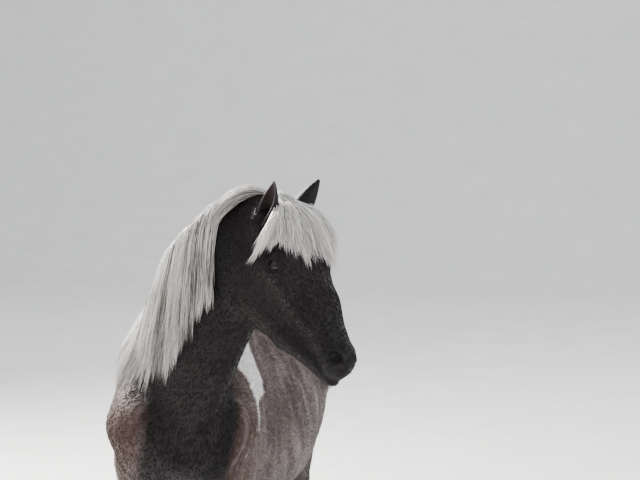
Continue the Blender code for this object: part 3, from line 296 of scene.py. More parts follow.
def trunk(field):
    top, bottom, middle, width, above, below = (through(TRUNK, k) for k in range(1, 7))

    def shape(x, y, z):
        c, w = middle(y), width(y)
        v = z - c
        half = np.where(v > 0, top(y) - c, c - bottom(y))
        n = np.where(v > 0, above(y), below(y))
        r = np.sqrt(x * x + v * v) + 1e-6
        q = ((np.abs(x) / w) ** n + (np.abs(v) / half) ** n) ** (1.0 / n) + 1e-6
        radial = r * (1.0 - 1.0 / q)
        ends = np.maximum(TRUNK[0][0] - y, y - TRUNK[-1][0])
        return np.maximum(radial * 0.9, ends)

    field.add(shape, (0.0, TRUNK[0][0], 0.58), (0.36, TRUNK[-1][0], 1.42), 0.04)


def neck(field):
    steps = 16
    curves = [through([(i, *row) for i, row in enumerate(NECK)], k) for k in range(1, 6)]
    rows = [[float(c(np.float64(s))) for c in curves] for s in np.linspace(0, len(NECK) - 1, steps)]
    for near, far in zip(rows, rows[1:]):
        ends = []
        for cy, cz, ty, tz, w in (near, far):
            middle = (0.0, (cy + ty) / 2, (cz + tz) / 2)
            ends.append((middle, (w, math.hypot(cy - ty, cz - tz) / 2)))
        up = (0.0, far[0] - far[2], far[1] - far[3])
        limb(field, ends[0][0], ends[1][0], ends[0][1], ends[1][1], 0.02, up, both=False)


def head_point(a, d, x=0.0):
    """A point of the head: a along it from the poll, d towards its front line, x to the left."""
    c, s = math.cos(HEAD_PITCH), math.sin(HEAD_PITCH)
    return (x, POLL[0] - a * c - d * s, POLL[1] - a * s + d * c)


def head_way(a, d, x=0.0):
    """A direction given the same way as head_point gives a place."""
    c, s = math.cos(HEAD_PITCH), math.sin(HEAD_PITCH)
    return (x, -a * c - d * s, -a * s + d * c)


def head(field):
    hp, hw = head_point, head_way
    front = hw(0, 1)
    down = hw(1, 0)

    def bar(a, b, ra, rb, blend, up=front, cut=False):
        limb(field, hp(*a), hp(*b), ra, rb, blend, up, cut)

    def ball(at, radii, blend, along=down, up=front, cut=False):
        lump(field, hp(*at), radii, blend, along, up, cut)

    # Skull and forehead.
    ball((0.070, -0.005), (0.115, 0.076, 0.072), 0.03)
    ball((0.165, 0.022), (0.125, 0.086, 0.064), 0.03)
    # The long face, narrowing to the nose.
    bar((0.170, 0.000), (0.320, 0.000), (0.080, 0.080), (0.053, 0.066), 0.03)
    bar((0.320, 0.000), (0.465, 0.000), (0.052, 0.060), (0.035, 0.040), 0.03)
    bar((0.190, 0.033), (0.462, 0.005), (0.042, 0.029), (0.022, 0.020), 0.03)
    # Cheeks and the bars of the lower jaw.
    ball((0.200, -0.086, 0.048), (0.115, 0.040, 0.098), 0.045, up=hw(-0.15, 1))
    bar((0.215, -0.132, 0.034), (0.345, -0.098, 0.028), 0.044, 0.036, 0.045)
    bar((0.345, -0.098, 0.028), (0.480, -0.050, 0.012), 0.035, 0.025, 0.03)
    # Cheekbone crest.
    bar((0.200, 0.006, 0.084), (0.360, -0.004, 0.052), 0.012, 0.008, 0.035)
    # Muzzle, lips and chin.
    ball((0.470, -0.005), (0.046, 0.034, 0.034), 0.03)
    ball((0.470, 0.001, 0.019), (0.036, 0.018, 0.026), 0.02)
    ball((0.493, -0.015), (0.027, 0.034, 0.030), 0.025)
    ball((0.497, -0.048), (0.034, 0.031, 0.025), 0.012)
    # Mouth, from the corner to the front of the lips.
    bar((0.436, -0.036, 0.043), (0.508, -0.041, 0.040), 0.0055, 0.0055, 0.008, cut=True)
    bar((0.508, -0.041, 0.040), (0.538, -0.039, 0.000), 0.0055, 0.0055, 0.008, cut=True)
    # Nostrils, with a raised rim.
    along, over = hw(0.8, 0.45), hw(-0.45, 0.8, 0.2)
    at, out, aside = NOSTRIL
    ball((at - 0.006, out - 0.003, aside - 0.013), (0.026, 0.010, 0.015), 0.018, along, over)
    ball((at, out, aside), (0.020, 0.018, 0.013), 0.008, along, over, cut=True)
    # Hollow above each eye, then the brow, the lids and the opening between them.
    ball((0.148, 0.040, 0.094), (0.024, 0.014, 0.014), 0.03, cut=True)
    ball((EYE[0], EYE[1], EYE[2] - 0.002), (LID, LID, LID), 0.016)
    bar((0.172, 0.040, 0.080), (0.216, 0.040, 0.076), 0.011, 0.010, 0.025)
    slit = EYE[2] + 0.022
    along = hw(1, 0.25)
    ball((EYE[0], EYE[1] + 0.001, slit), (0.0195, 0.0130, 0.0115), 0.003, along, hw(-0.25, 1), cut=True)
    # Ear roots.
    ball((EAR_ROOT[0] - 0.004, EAR_ROOT[1] - 0.002, EAR_ROOT[2] - 0.008), (0.032, 0.028, 0.032), 0.025)


def foreleg(field):
    x, y = FORE_X, FORE_Y
    # Shoulder blade, its front muscles and the long head over the elbow.
    limb(
        field, (0.056, -0.330, 1.250), (0.126, -0.570, 0.980),
        (0.046, 0.085), (0.062, 0.095), 0.09, (0, 1, 1),
    )
    lump(field, (0.122, -0.560, 0.945), (0.095, 0.062, 0.125), 0.08)
    limb(
        field, (0.118, -0.390, 1.060), (0.136, -0.430, 0.850),
        (0.066, 0.110), (0.062, 0.095), 0.08, (0, 1, 0),
    )
    # Breast.
    lump(field, (0.075, -0.610, 0.930), (0.080, 0.075, 0.120), 0.06)
    # Forearm.
    limb(field, (0.136, y, 0.830), (0.126, y - 0.005, 0.640), (0.062, 0.092), (0.053, 0.068), 0.06, (0, 1, 0))
    limb(
        field, (0.126, y - 0.005, 0.640), (0.121, y - 0.008, 0.480),
        (0.053, 0.068), (0.038, 0.044), 0.03, (0, 1, 0),
    )
    lump(field, (0.138, y - 0.030, 0.720), (0.056, 0.052, 0.100), 0.04)
    # Knee, with the knob at its back.
    lump(field, (x, y - 0.012, 0.432), (0.043, 0.045, 0.056), 0.02)
    lump(field, (x, y + 0.030, 0.440), (0.017, 0.026, 0.032), 0.02)
    # Cannon and its tendons.
    limb(field, (x, y - 0.012, 0.420), (x, y - 0.010, 0.225), (0.029, 0.029), (0.025, 0.025), 0.02, (0, 1, 0))
    limb(field, (x, y + 0.020, 0.400), (x, y + 0.018, 0.225), (0.015, 0.017), (0.016, 0.017), 0.02, (0, 1, 0))
    fetlock(field, x, y)


def fetlock(field, x, y):
    """Fetlock joint, pastern and coronet, down into the top of the hoof."""
    lump(field, (x, y - 0.002, 0.205), (0.038, 0.037, 0.038), 0.02)
    lump(field, (x, y + 0.030, 0.190), (0.020, 0.026, 0.026), 0.02)
    limb(field, (x, y - 0.010, 0.190), (x, y - 0.052, 0.095), (0.032, 0.033), (0.042, 0.044), 0.02, (0, 1, 0))
    limb(field, (x, y - 0.052, 0.095), (x, y - 0.054, 0.040), (0.044, 0.042), (0.046, 0.044), 0.02, (0, 1, 0))


def hindleg(field):
    x, y = HIND_X, HIND_Y
    # Rump: from the point of the hip over the thigh to the buttock.
    limb(field, (0.165, 0.260, 1.170), (0.120, 0.500, 1.120), (0.075, 0.085), (0.105, 0.120), 0.10)
    lump(field, (0.138, 0.450, 1.010), (0.190, 0.108, 0.210), 0.09)
    limb(field, (0.090, 0.605, 1.080), (0.125, 0.575, 0.820), (0.085, 0.090), (0.062, 0.072), 0.07, (0, 1, 0))
    # Thigh down to the stifle.
    limb(field, (0.152, 0.440, 0.970), (0.172, 0.380, 0.820), (0.082, 0.130), (0.064, 0.085), 0.08, (0, 1, 0))
    # Gaskin.
    limb(
        field, (0.160, 0.450, 0.850), (0.138, 0.580, 0.620),
        (0.074, 0.115), (0.042, 0.054), 0.05, (0, 1, 0.4),
    )
    # The great tendon to the point of the hock.
    limb(
        field, (0.130, 0.600, 0.760), (0.132, 0.672, 0.585),
        (0.028, 0.034), (0.017, 0.019), 0.03, (0, 1, 0.3),
    )
    # Hock.
    limb(field, (0.134, 0.600, 0.600), (x, 0.628, 0.500), (0.040, 0.046), (0.037, 0.043), 0.03, (0, 1, 0))
    limb(field, (x, 0.676, 0.580), (x, 0.658, 0.500), (0.021, 0.021), (0.022, 0.022), 0.03, (0, 1, 0))
    # Cannon and its tendons.
    limb(field, (x, y - 0.008, 0.490), (x, y - 0.010, 0.225), (0.030, 0.031), (0.026, 0.027), 0.02, (0, 1, 0))
    limb(field, (x, y + 0.026, 0.480), (x, y + 0.020, 0.225), (0.016, 0.018), (0.016, 0.017), 0.02, (0, 1, 0))
    fetlock(field, x, y)


def dock(field):
    """The root of the tail, which the tail's hair hides lower down."""
    limb(field, (0.0, 0.620, 1.170), (0.0, 0.725, 1.120), (0.050, 0.045), (0.034, 0.032), 0.06, both=False)


def body_field(xs, ys, zs):
    field = Field(xs, ys, zs)
    trunk(field)
    neck(field)
    hindleg(field)
    foreleg(field)
    dock(field)
    head(field)
    return field


def graded(stops, steps):
    """Grid lines from the first stop to the last, with one step between each two stops."""
    lines = []
    for lo, hi, step in zip(stops, stops[1:], steps):
        count = max(1, round((hi - lo) / step))
        lines.extend(np.linspace(lo, hi, count, endpoint=False))
    lines.append(stops[-1])
    return np.array(lines)


def untangle(d):
    """Turns a sample round wherever two surfaces would meet in one edge of the skin."""
    for _ in range(5):
        found = False
        for u, v in ((0, 1), (1, 2), (0, 2)):
            inside = d < 0
            corner = []
            for i, j in ((0, 0), (1, 0), (1, 1), (0, 1)):
                span = [slice(None)] * 3
                span[u] = slice(i, d.shape[u] - 1 + i)
                span[v] = slice(j, d.shape[v] - 1 + j)
                corner.append(inside[tuple(span)])
            a, b, c, e = corner
            for cell in np.argwhere((a == c) & (b == e) & (a != b)):
                spots = []
                for i, j in ((0, 0), (1, 0), (1, 1), (0, 1)):
                    spot = cell.copy()
                    spot[u] += i
                    spot[v] += j
                    spots.append(tuple(spot))
                weakest = min(spots, key=lambda spot: abs(d[spot]))
                d[weakest] = -1e-4 if d[weakest] >= 0 else 1e-4
                found = True
        if not found:
            return


def surface(field):
    """The skin as points and quads, for both halves, by naive surface nets."""
    untangle(field.d)
    xs, ys, zs = field.axes
    xs = np.concatenate([-xs[:0:-1], xs])
    d = np.concatenate([field.d[:0:-1], field.d])
    inside = d < 0
    count = np.zeros([n - 1 for n in d.shape], np.uint8)
    corners = [(i, j, k) for i in (0, 1) for j in (0, 1) for k in (0, 1)]
    nx, ny, nz = count.shape
    for i, j, k in corners:
        count += inside[i : i + nx, j : j + ny, k : k + nz]
    cells = np.argwhere((count > 0) & (count < 8))
    values = np.stack([d[tuple((cells + c).T)] for c in corners], 1)
    offset = np.array(corners, float)
    total = np.zeros((len(cells), 3))
    hits = np.zeros(len(cells))
    for p in range(8):
        for q in range(p + 1, 8):
            if np.abs(offset[p] - offset[q]).sum() != 1:
                continue
            crossed = (values[:, p] < 0) != (values[:, q] < 0)
            vp, vq = values[crossed, p], values[crossed, q]
            t = (vp / (vp - vq))[:, None]
            total[crossed] += offset[p] + t * (offset[q] - offset[p])
            hits[crossed] += 1
    local = total / hits[:, None]
    points = np.empty_like(local)
    for k, axis in enumerate((xs, ys, zs)):
        low = axis[cells[:, k]]
        points[:, k] = low + local[:, k] * (axis[cells[:, k] + 1] - low)
    index = np.full(count.shape, -1, np.int64)
    index[tuple(cells.T)] = np.arange(len(cells))
    quads = []
    for k in range(3):
        u, v = (k + 1) % 3, (k + 2) % 3
        first = [slice(None)] * 3
        second = [slice(None)] * 3
        first[k], second[k] = slice(0, -1), slice(1, None)
        a, b = inside[tuple(first)], inside[tuple(second)]
        edges = np.argwhere(a != b)
        edges = edges[(edges[:, u] > 0) & (edges[:, v] > 0)]
        outward = a[tuple(edges.T)]
        ring = []
        for du, dv in ((-1, -1), (0, -1), (0, 0), (-1, 0)):
            at = edges.copy()
            at[:, u] += du
            at[:, v] += dv
            ring.append(index[tuple(at.T)])
        ring = np.stack(ring, 1)
        ring[~outward] = ring[~outward][:, ::-1]
        quads.append(ring)
    return points, np.concatenate(quads)


def turn_table():
    """The way of the neck seen from above: heading and place against the distance up the neck."""
    u = np.linspace(-0.60, 1.20, 361)
    heading = CHEST_TURN * smoothstep((u + 0.45) / 0.45)
    heading += NECK_TURN * smoothstep((u + 0.05) / 0.27) + HEAD_TURN * smoothstep((u - 0.18) / 0.20)
    side = np.sin(heading) * NECK_RUN
    ahead = -np.cos(heading) * NECK_RUN
    step = np.diff(u)
    run = [np.concatenate([[0.0], np.cumsum((v[1:] + v[:-1]) / 2 * step)]) for v in (side, ahead)]
    start = NECK_BASE[0] - NECK_RUN * u[0]
    return u, heading, run[0], start + run[1]


TURNS = turn_table()


def up_neck(p):
    """How far a point of the straight horse lies up the neck from its base."""
    back, rise = p[:, 1] - NECK_BASE[0], p[:, 2] - NECK_BASE[1]
    return -math.cos(NECK_RISE) * back + math.sin(NECK_RISE) * rise


def posed(points):
    """The straight horse's points, with the legs set down and the neck bent round to the left."""
    p = np.array(points, float).reshape(-1, 3)
    low = smoothstep((0.74 - p[:, 2]) / 0.60)
    left = smoothstep((p[:, 0] + 0.05) / 0.10)
    hind = smoothstep((p[:, 1] + 0.10) / 0.25)
    fore_step = STRIDE["fore_left"] * left + STRIDE["fore_right"] * (1.0 - left)
    hind_step = STRIDE["hind_left"] * left + STRIDE["hind_right"] * (1.0 - left)
    step = low * (fore_step * (1.0 - hind) + hind_step * hind)
    at, heading, side, ahead = TURNS
    u = np.maximum(up_neck(p), at[0])
    sway = SWAY * smoothstep((-0.02 - p[:, 1]) / 0.36) * smoothstep((p[:, 2] - 0.12) / 0.60)
    sway = sway * (1.0 - smoothstep((u - 0.02) / SWAY_FADE)) * smoothstep((1.42 - p[:, 2]) / 0.30)
    angle = np.interp(u, at, heading)
    centre = NECK_BASE[0] - NECK_RUN * u
    dx, dy = p[:, 0], p[:, 1] - centre
    c, s = np.cos(angle), np.sin(angle)
    moved = p.copy()
    moved[:, 0] = np.interp(u, at, side) + dx * c - dy * s - sway
    moved[:, 1] = np.interp(u, at, ahead) + dx * s + dy * c + step
    return moved


def foot_place(end, word):
    """Where the middle of a hoof stands on the floor."""
    side = 1.0 if word == "left" else -1.0
    x, y = (FORE_X, FORE_Y) if end == "fore" else (HIND_X, HIND_Y)
    return side * x, y - HOOF_AHEAD + STRIDE[f"{end}_{word}"]


def hoof_top(end, word):
    """The sloping plane where the coronet meets the hoof."""
    x, y = foot_place(end, word)
    return Vector((x, y, CORONET)), Vector((0.0, CORONET_SLOPE, 1.0)).normalized()


def ear_points(side, rows=8, arc=8):
    """Both faces of a cupped ear in the straight pose, as rows of outer and inner points."""
    def place(v):
        return Vector(head_point(v[0], v[1], v[2] * side))

    def way(v):
        return Vector(head_way(v[0], v[1], v[2] * side)).normalized()

    root = place(EAR_ROOT)
    along = way((-0.36, 0.89, 0.03))
    open_to = way((-0.15, -0.07, 0.98))
    open_to = (open_to - along * open_to.dot(along)).normalized()
    across = along.cross(open_to)
    outer, inner = [], []
    for i in range(rows):
        t = i / (rows - 1)
        swell = math.sin(math.pi * min(0.30 + 0.72 * t, 1.0)) ** 0.75
        wide = 0.0040 + EAR_WIDTH * swell
        deep = wide * (1.0 - 0.35 * t)
        gape = math.radians(38.0 + 52.0 * t)
        wall = 0.0040 + 0.010 * (1.0 - t) ** 3
        bend = 0.014 * t * t
        middle = root + along * (t * EAR_LENGTH) + open_to * (bend - 0.3 * deep)
        row_out, row_in = [], []
        for j in range(arc):
            phi = math.pi + (2.0 * j / (arc - 1) - 1.0) * (math.pi - gape)
            ray = open_to * math.cos(phi) * deep + across * math.sin(phi) * wide
            size = max(ray.length, 1e-6)
            row_out.append(middle + ray)
            row_in.append(middle + ray * max(0.15, 1.0 - wall / size))
        outer.append(row_out)
        inner.append(row_in)
    return outer, inner


def shell_faces(rows, columns):
    """Quads of a closed slab whose first rows * columns points are outside, the rest inside."""
    size = rows * columns
    faces = []
    for i in range(rows - 1):
        for j in range(columns - 1):
            a, b = i * columns + j, i * columns + j + 1
            c, d = b + columns, a + columns
            faces.append((a, b, c, d))
            faces.append((size + a, size + d, size + c, size + b))
    rim = [(i, 0) for i in range(rows)] + [(rows - 1, j) for j in range(1, columns)]
    rim += [(i, columns - 1) for i in range(rows - 2, -1, -1)] + [(0, j) for j in range(columns - 2, 0, -1)]
    for (i, j), (k, m) in zip(rim, rim[1:] + rim[:1]):
        a, b = i * columns + j, k * columns + m
        faces.append((a, b, size + b, size + a))
    return faces


def gradient(field, p):
    step = 0.004
    out = np.empty_like(p)
    for k in range(3):
        more, less = p.copy(), p.copy()
        more[:, k] += step
        less[:, k] -= step
        out[:, k] = field.at(more) - field.at(less)
    return out / (np.linalg.norm(out, axis=1, keepdims=True) + 1e-9)


def fall(field, roots, way, pull, lengths, lift, steps):
    """Paths of hair: each leaves its root, is drawn by the pull, and lies lift above the skin."""
    p = np.array(roots, float)
    v = np.array(way, float)
    lengths = np.asarray(lengths, float)[:, None]
    pull = np.asarray(pull, float) * lengths / steps
    lift = np.broadcast_to(lift, (steps, len(p)))
    path = [p]
    for i in range(steps):
        v = v + pull
        v /= np.linalg.norm(v, axis=1, keepdims=True)
        q = p + v * lengths / steps
        for _ in range(4):
            short = np.maximum(lift[i] - field.at(q), 0.0)[:, None]
            q = q + gradient(field, q) * short
        v = q - p
        v /= np.linalg.norm(v, axis=1, keepdims=True) + 1e-9
        p = q
        path.append(p)
    return np.stack(path, 1)


def crest_at(field, y):
    """The height of the skin on the middle line, over places along the neck and withers."""
    y = np.asarray(y, float)
    z = np.interp(y, [row[0] for row in NECK][::-1], [row[1] for row in NECK][::-1]) + 0.04
    for _ in range(6):
        z = z - field.at(np.stack([0.0 * y, y, z], 1))
    return z


def mane_paths(field, ys, lifts, steps, shorten=1.0, side=-1.0):
    """Hair from the crest, over to one side of the neck and down."""
    ys = np.asarray(ys, float)
    roots = np.stack([np.zeros_like(ys), ys, crest_at(field, ys) + 0.003], 1)
    way = np.tile([side, 0.0, 0.10], (len(ys), 1))
    if side < 0:
        share = (ys - MANE[0]) / (MANE[1] - MANE[0])
        lengths = np.interp(share, (0.0, 0.08, 0.30, 0.50, 0.85, 1.0), (0.33, 0.38, 0.49, 0.48, 0.40, 0.24))
    else:
        lengths = np.full_like(ys, 0.30)
    return fall(field, roots, way, (0.5, -1.2, -24.0), lengths * shorten, lifts, steps)


def forelock_paths(field, spots, lifts, steps, shorten=1.0):
    """Hair from the poll between the ears, fanned forward over the forehead."""
    spots = np.asarray(spots, float)
    roots, ways = [], []
    for side, back in spots:
        near = max(abs(side) - 0.3, 0.0)
        roots.append(head_point(0.020 + 0.030 * near + 0.035 * back * (1.0 - near), 0.066, 0.034 * side))
        ways.append(Vector(head_way(0.55 + 0.8 * near, 0.40, 1.00 * side)).normalized())
    side = spots[:, 0]
    lengths = np.interp(side, (-1.0, -0.75, -0.45, 0.0, 0.3, 1.0), (0.190, 0.155, 0.180, 0.260, 0.255, 0.185))
    lengths = lengths * shorten
    pull = np.stack([0.0 * side, -1.5 + 22.0 * np.maximum(-side - 0.45, 0.0), -11.0 + 0.0 * side], 1)
    return fall(field, roots, ways, pull, lengths, lifts, steps)


def tail_paths(angles, radius, steps, shorten=1.0):
    """Hair from the dock, down behind the legs."""
    angles = np.asarray(angles, float)
    radius = np.broadcast_to(radius, angles.shape)
    t = np.linspace(0.0, 1.0, steps + 1)[None, :] * np.broadcast_to(shorten, angles.shape)[:, None]
    drop = TAIL_TOP - (TAIL_TOP - TAIL_TIP) * np.clip(t * 1.08 - 0.08, 0.0, 1.0)
    behind = 0.700 + 0.150 * smoothstep(t / 0.32) - 0.045 * smoothstep((t - 0.35) / 0.65)
    rise = 0.022 * np.sin(math.pi * np.clip(t / 0.22, 0.0, 1.0))
    swell = np.interp(t, (0.0, 0.10, 0.45, 0.75, 1.0), (0.030, 0.052, 0.092, 0.080, 0.034))
    out = swell * radius[:, None]
    x = np.cos(angles)[:, None] * out
    y = behind + np.sin(angles)[:, None] * out * 0.75
    z = drop + rise + 0.0 * x
    return np.stack([x, y, z], 2)


def settled():
    """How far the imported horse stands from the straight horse's own origin, read off one eye."""
    low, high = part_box("eye_left")
    place = posed([head_point(*EYE)])[0]
    middle = (low + high) / 2
    return np.array([middle.x - place[0], middle.y - place[1], 0.0])


SHIFT = settled()


def placed(points):
    """Points of the straight horse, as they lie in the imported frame."""
    return posed(points) + SHIFT


def srgb(r, g, b):
    """A colour given as 0 to 255, as the light it stands for."""
    c = np.array([r, g, b], float) / 255.0
    return np.where(c <= 0.04045, c / 12.92, ((c + 0.055) / 1.055) ** 2.4)


def noise(p, scale, seed=0):
    """Smooth value noise from -1 to 1. The scale is cells per metre, one number or one per axis."""
    q = np.asarray(p, float) * np.asarray(scale, float) + seed * 17.31 + 100.0
    cell = np.floor(q).astype(np.int64)
    f = q - cell
    f = f * f * (3.0 - 2.0 * f)
    total = 0.0
    for corner in range(8):
        bits = np.array([(corner >> k) & 1 for k in range(3)])
        c = cell + bits
        h = (c[:, 0] * 73856093) ^ (c[:, 1] * 19349663) ^ (c[:, 2] * 83492791) ^ (seed * 2654435761)
        h = (h ^ (h >> 13)) * 1274126177
        h = (h ^ (h >> 16)) & 0xFFFFFF
        value = h / float(0xFFFFFF) * 2.0 - 1.0
        weight = np.prod(np.where(bits == 1, f, 1.0 - f), axis=1)
        total = total + value * weight
    return total


def mix(a, b, share):
    share = np.clip(share, 0.0, 1.0)[:, None]
    return a * (1.0 - share) + b * share


def head_place(p):
    """Points as distances along the head from the poll, towards its front line, and to the left."""
    c, s = math.cos(HEAD_PITCH), math.sin(HEAD_PITCH)
    back, rise = p[:, 1] - POLL[0], p[:, 2] - POLL[1]
    return -back * c - rise * s, -back * s + rise * c, p[:, 0]


def distance_to(p, spot):
    """How far points lie from a place of the head or from its mirror image, whichever is nearer."""
    return np.linalg.norm(np.abs(p) * (1, 0, 0) + p * (0, 1, 1) - head_point(*spot), axis=1)


def on_head(p):
    """1 on the head, 0 behind the throat."""
    return smoothstep((HEAD_CUT + 0.03 - p[:, 1]) / 0.08) * smoothstep((p[:, 2] - 0.95) / 0.08)


def on_neck(p):
    """1 on the neck, 0 on the trunk behind the shoulder."""
    return smoothstep((up_neck(p) + 0.06) / 0.14)


# Coat colours.
BLACK = srgb(18, 16, 18)
CHOCOLATE = srgb(40, 32, 33)
TAUPE = srgb(84, 70, 68)
SILVER = srgb(150, 139, 137)
BROWN = srgb(90, 66, 56)
WHITE = srgb(232, 230, 228)
HAIR_WHITE = srgb(242, 239, 235)
HAIR_GREY = srgb(158, 148, 142)
HAIR_DARK = srgb(74, 62, 59)
SKIN_DARK = srgb(22, 19, 20)

# The white patch on the left shoulder: its front and rear edges against height. It runs up over
# the withers, ends a little way down the right side, and has a spike at its lower front corner.
PATCH_HEIGHTS = (0.955, 0.985, 1.000, 1.035, 1.085, 1.170, 1.300, 1.420)
PATCH_FRONT = (-0.566, -0.568, -0.560, -0.528, -0.522, -0.520, -0.500, -0.480)
PATCH_REAR = (-0.572, -0.545, -0.480, -0.310, -0.322, -0.398, -0.330, -0.300)


def white_patch(p):
    z = p[:, 2] + 0.008 * noise(p, (10, 70, 10), 5)
    ragged = 0.006 * noise(p, (20, 9, 45), 6)
    inside = np.minimum(
        p[:, 1] - np.interp(z, PATCH_HEIGHTS, PATCH_FRONT),
        np.interp(z, PATCH_HEIGHTS, PATCH_REAR) - p[:, 1],
    )
    inside = np.minimum(inside + ragged, z - PATCH_HEIGHTS[0])
    left = smoothstep((p[:, 0] + 0.06 + ragged) / 0.01)
    return smoothstep(inside / 0.005 + 0.5) * left


def white_legs(p):
    """White stockings, higher behind than in front, with a ragged upper edge."""
    top = np.where(p[:, 1] < 0.0, 0.300, 0.360) + 0.030 * noise(p, (14, 14, 3), 8)
    top = top + 0.016 * noise(p, (60, 60, 12), 9)
    return smoothstep((top - p[:, 2]) / 0.018)


def coat_colour(p, fine=1.0):
    """The coat's colour at points of the straight horse. Fine sets how strong its streaks are."""
    x, y, z = p[:, 0], p[:, 1], p[:, 2]
    neck, head = on_neck(p), on_head(p)
    a = head_place(p)[0]
    flow = np.where((z < 0.72)[:, None], np.array([60.0, 60.0, 7.0]), np.array([16.0, 44.0, 7.0]))
    sloped = p.copy()
    sloped[:, 1] += 0.55 * (z - 1.0) * smoothstep((y + 0.35) / 0.3)
    streak = noise(sloped, flow, 1) * 0.6 + noise(sloped, flow * 2.3, 2) * 0.5
    broad = noise(p, (5, 4, 5), 3)
    # The trunk: taupe with silver streaks, browner over the shoulder and the belly line.
    colour = mix(np.tile(TAUPE, (len(p), 1)), SILVER, np.clip(0.30 * broad + 0.62 * streak * fine, 0, 0.8))
    colour = mix(colour, CHOCOLATE, np.clip(-0.75 * streak * fine - 0.2 * broad, 0, 0.75))
    shoulder = smoothstep((-0.34 - y) / 0.14) * smoothstep((z - 0.66) / 0.15)
    colour = mix(colour, BROWN, 0.60 * shoulder * np.clip(0.75 + 0.35 * broad - 0.7 * streak, 0, 1))
    spine = smoothstep((z - 1.24) / 0.10) * smoothstep((0.09 - np.abs(x)) / 0.07)
    colour = mix(colour, BROWN * 0.6, 0.55 * spine)
    belly = smoothstep((0.82 - z) / 0.16)
    colour = mix(colour, CHOCOLATE, 0.55 * belly)
    # Neck, breast and head: close to black, a little warmer on the cheeks. Across the front of the breast
    # this black is partly the coat's own dark colour and partly painted shade, for the breast turned away
    # from the light.
    wide = np.where(x > 0, 0.165, 0.150)
    # Painted shade, in part: the front of the breast, out to a given width on each side, goes near black.
    front = smoothstep((-0.52 - y) / 0.10) * smoothstep((wide - np.abs(x) + 0.010 * broad) / 0.045)
    collar = neck * smoothstep((z - 1.02 + 0.5 * (wide - np.abs(x))) / 0.10)
    dark = mix(np.tile(BLACK, (len(p), 1)), CHOCOLATE, 0.30 + 0.25 * broad + 0.2 * streak * fine)
    colour = mix(colour, dark, np.maximum(collar, front * smoothstep((z - 0.5) / 0.3)))
    cheek = smoothstep((a - 0.10) / 0.10) * smoothstep((0.40 - a) / 0.1)
    colour = mix(colour, CHOCOLATE * 1.15, 0.35 * head * cheek)
    colour = mix(colour, SKIN_DARK, 0.75 * head * smoothstep((a - 0.415) / 0.06))
    # Legs: dark knees and hocks over white stockings.
    colour = mix(colour, CHOCOLATE * 0.8, smoothstep((0.70 - z) / 0.16) * 0.8)
    colour = mix(colour, WHITE, white_legs(p))
    colour = mix(colour, WHITE, white_patch(p))
    return np.clip(colour, 0.0, 1.0)


def lie(p):
    """Which way the coat lies at points of the straight horse."""
    head, neck = on_head(p)[:, None], on_neck(p)[:, None]
    low = smoothstep((0.80 - p[:, 2]) / 0.20)[:, None]
    way = np.tile([0.0, 1.0, -0.30], (len(p), 1))
    way = way * (1 - neck) + np.array([0.0, 0.75, -0.66]) * neck
    breast = smoothstep((-0.50 - p[:, 1]) / 0.08)[:, None] * smoothstep((1.05 - p[:, 2]) / 0.1)[:, None]
    way = way * (1 - breast) + np.array([0.0, 0.1, -1.0]) * breast
    way = way * (1 - low) + np.array([0.0, 0.05, -1.0]) * low
    d = head_place(p)[1]
    back = smoothstep((0.03 - d) / 0.06)[:, None]
    face = np.array(head_way(1.0, -0.05)) * (1 - back) + np.array(head_way(0.55, -0.85)) * back
    return way * (1 - head) + face * head


def atlas(p, way):
    """The place of skin points on its unwrap: one tile for each region and each of six directions."""
    x, y, z = p.T
    region = np.where(z < 0.69, np.where(y < 0.0, 1, 3) + (x < 0), 0)
    region = np.where((y < HEAD_CUT) & (z > 1.0), 5, region)
    axis = np.argmax(np.abs(way), axis=1)
    sign = np.take_along_axis(way, axis[:, None], 1)[:, 0] > 0
    tile = region * TILES + axis * 2 + sign
    low = np.array([(-0.36, -0.95, 0.60), (0.0, -0.70, 0.0), (-0.36, -0.70, 0.0),
                    (0.0, 0.30, 0.0), (-0.36, 0.30, 0.0), (-0.20, -1.42, 1.05)])[region]
    size = np.array([1.75, 0.75, 0.75, 0.75, 0.75, 0.70])[region]
    u = np.where(axis == 0, y - low[:, 1], x - low[:, 0]) / size
    v = np.where(axis == 2, y - low[:, 1], z - low[:, 2]) / size
    u, v = np.clip(u, 0.0, 1.0), np.clip(v, 0.0, 1.0)
    return np.stack([
        (tile // TILES + TILE_PAD + u * (1 - 2 * TILE_PAD)) / TILES,
        (tile % TILES + TILE_PAD + v * (1 - 2 * TILE_PAD)) / TILES,
    ], 1)


def new_mesh(name, points, faces, counts, uv=None, colour=None, rest=None, smooth=True):
    """A mesh object from flat arrays: the faces' corners one after another, and how many each has."""
    mesh = bpy.data.meshes.new(name)
    mesh.vertices.add(len(points))
    mesh.vertices.foreach_set("co", np.ascontiguousarray(points, np.float32).ravel())
    mesh.loops.add(len(faces))
    mesh.loops.foreach_set("vertex_index", np.ascontiguousarray(faces, np.int32))
    mesh.polygons.add(len(counts))
    starts = np.concatenate([[0], np.cumsum(counts)[:-1]])
    mesh.polygons.foreach_set("loop_start", np.ascontiguousarray(starts, np.int32))
    mesh.polygons.foreach_set("loop_total", np.ascontiguousarray(counts, np.int32))
    if uv is not None:
        layer = mesh.uv_layers.new(name="OFBake")
        layer.data.foreach_set("uv", np.ascontiguousarray(uv, np.float32).ravel())
    mesh.update(calc_edges=True)
    mesh.validate()
    if colour is not None:
        attribute = mesh.attributes.new("tone", "FLOAT_COLOR", "POINT")
        full = np.concatenate([colour, np.ones((len(colour), 1))], 1)
        attribute.data.foreach_set("color", np.ascontiguousarray(full, np.float32).ravel())
    if rest is not None:
        attribute = mesh.attributes.new("rest", "FLOAT_VECTOR", "POINT")
        attribute.data.foreach_set("vector", np.ascontiguousarray(rest, np.float32).ravel())
    mesh.polygons.foreach_set("use_smooth", np.full(len(counts), smooth))
    obj = bpy.data.objects.new(name, mesh)
    bpy.context.scene.collection.objects.link(obj)
    return obj


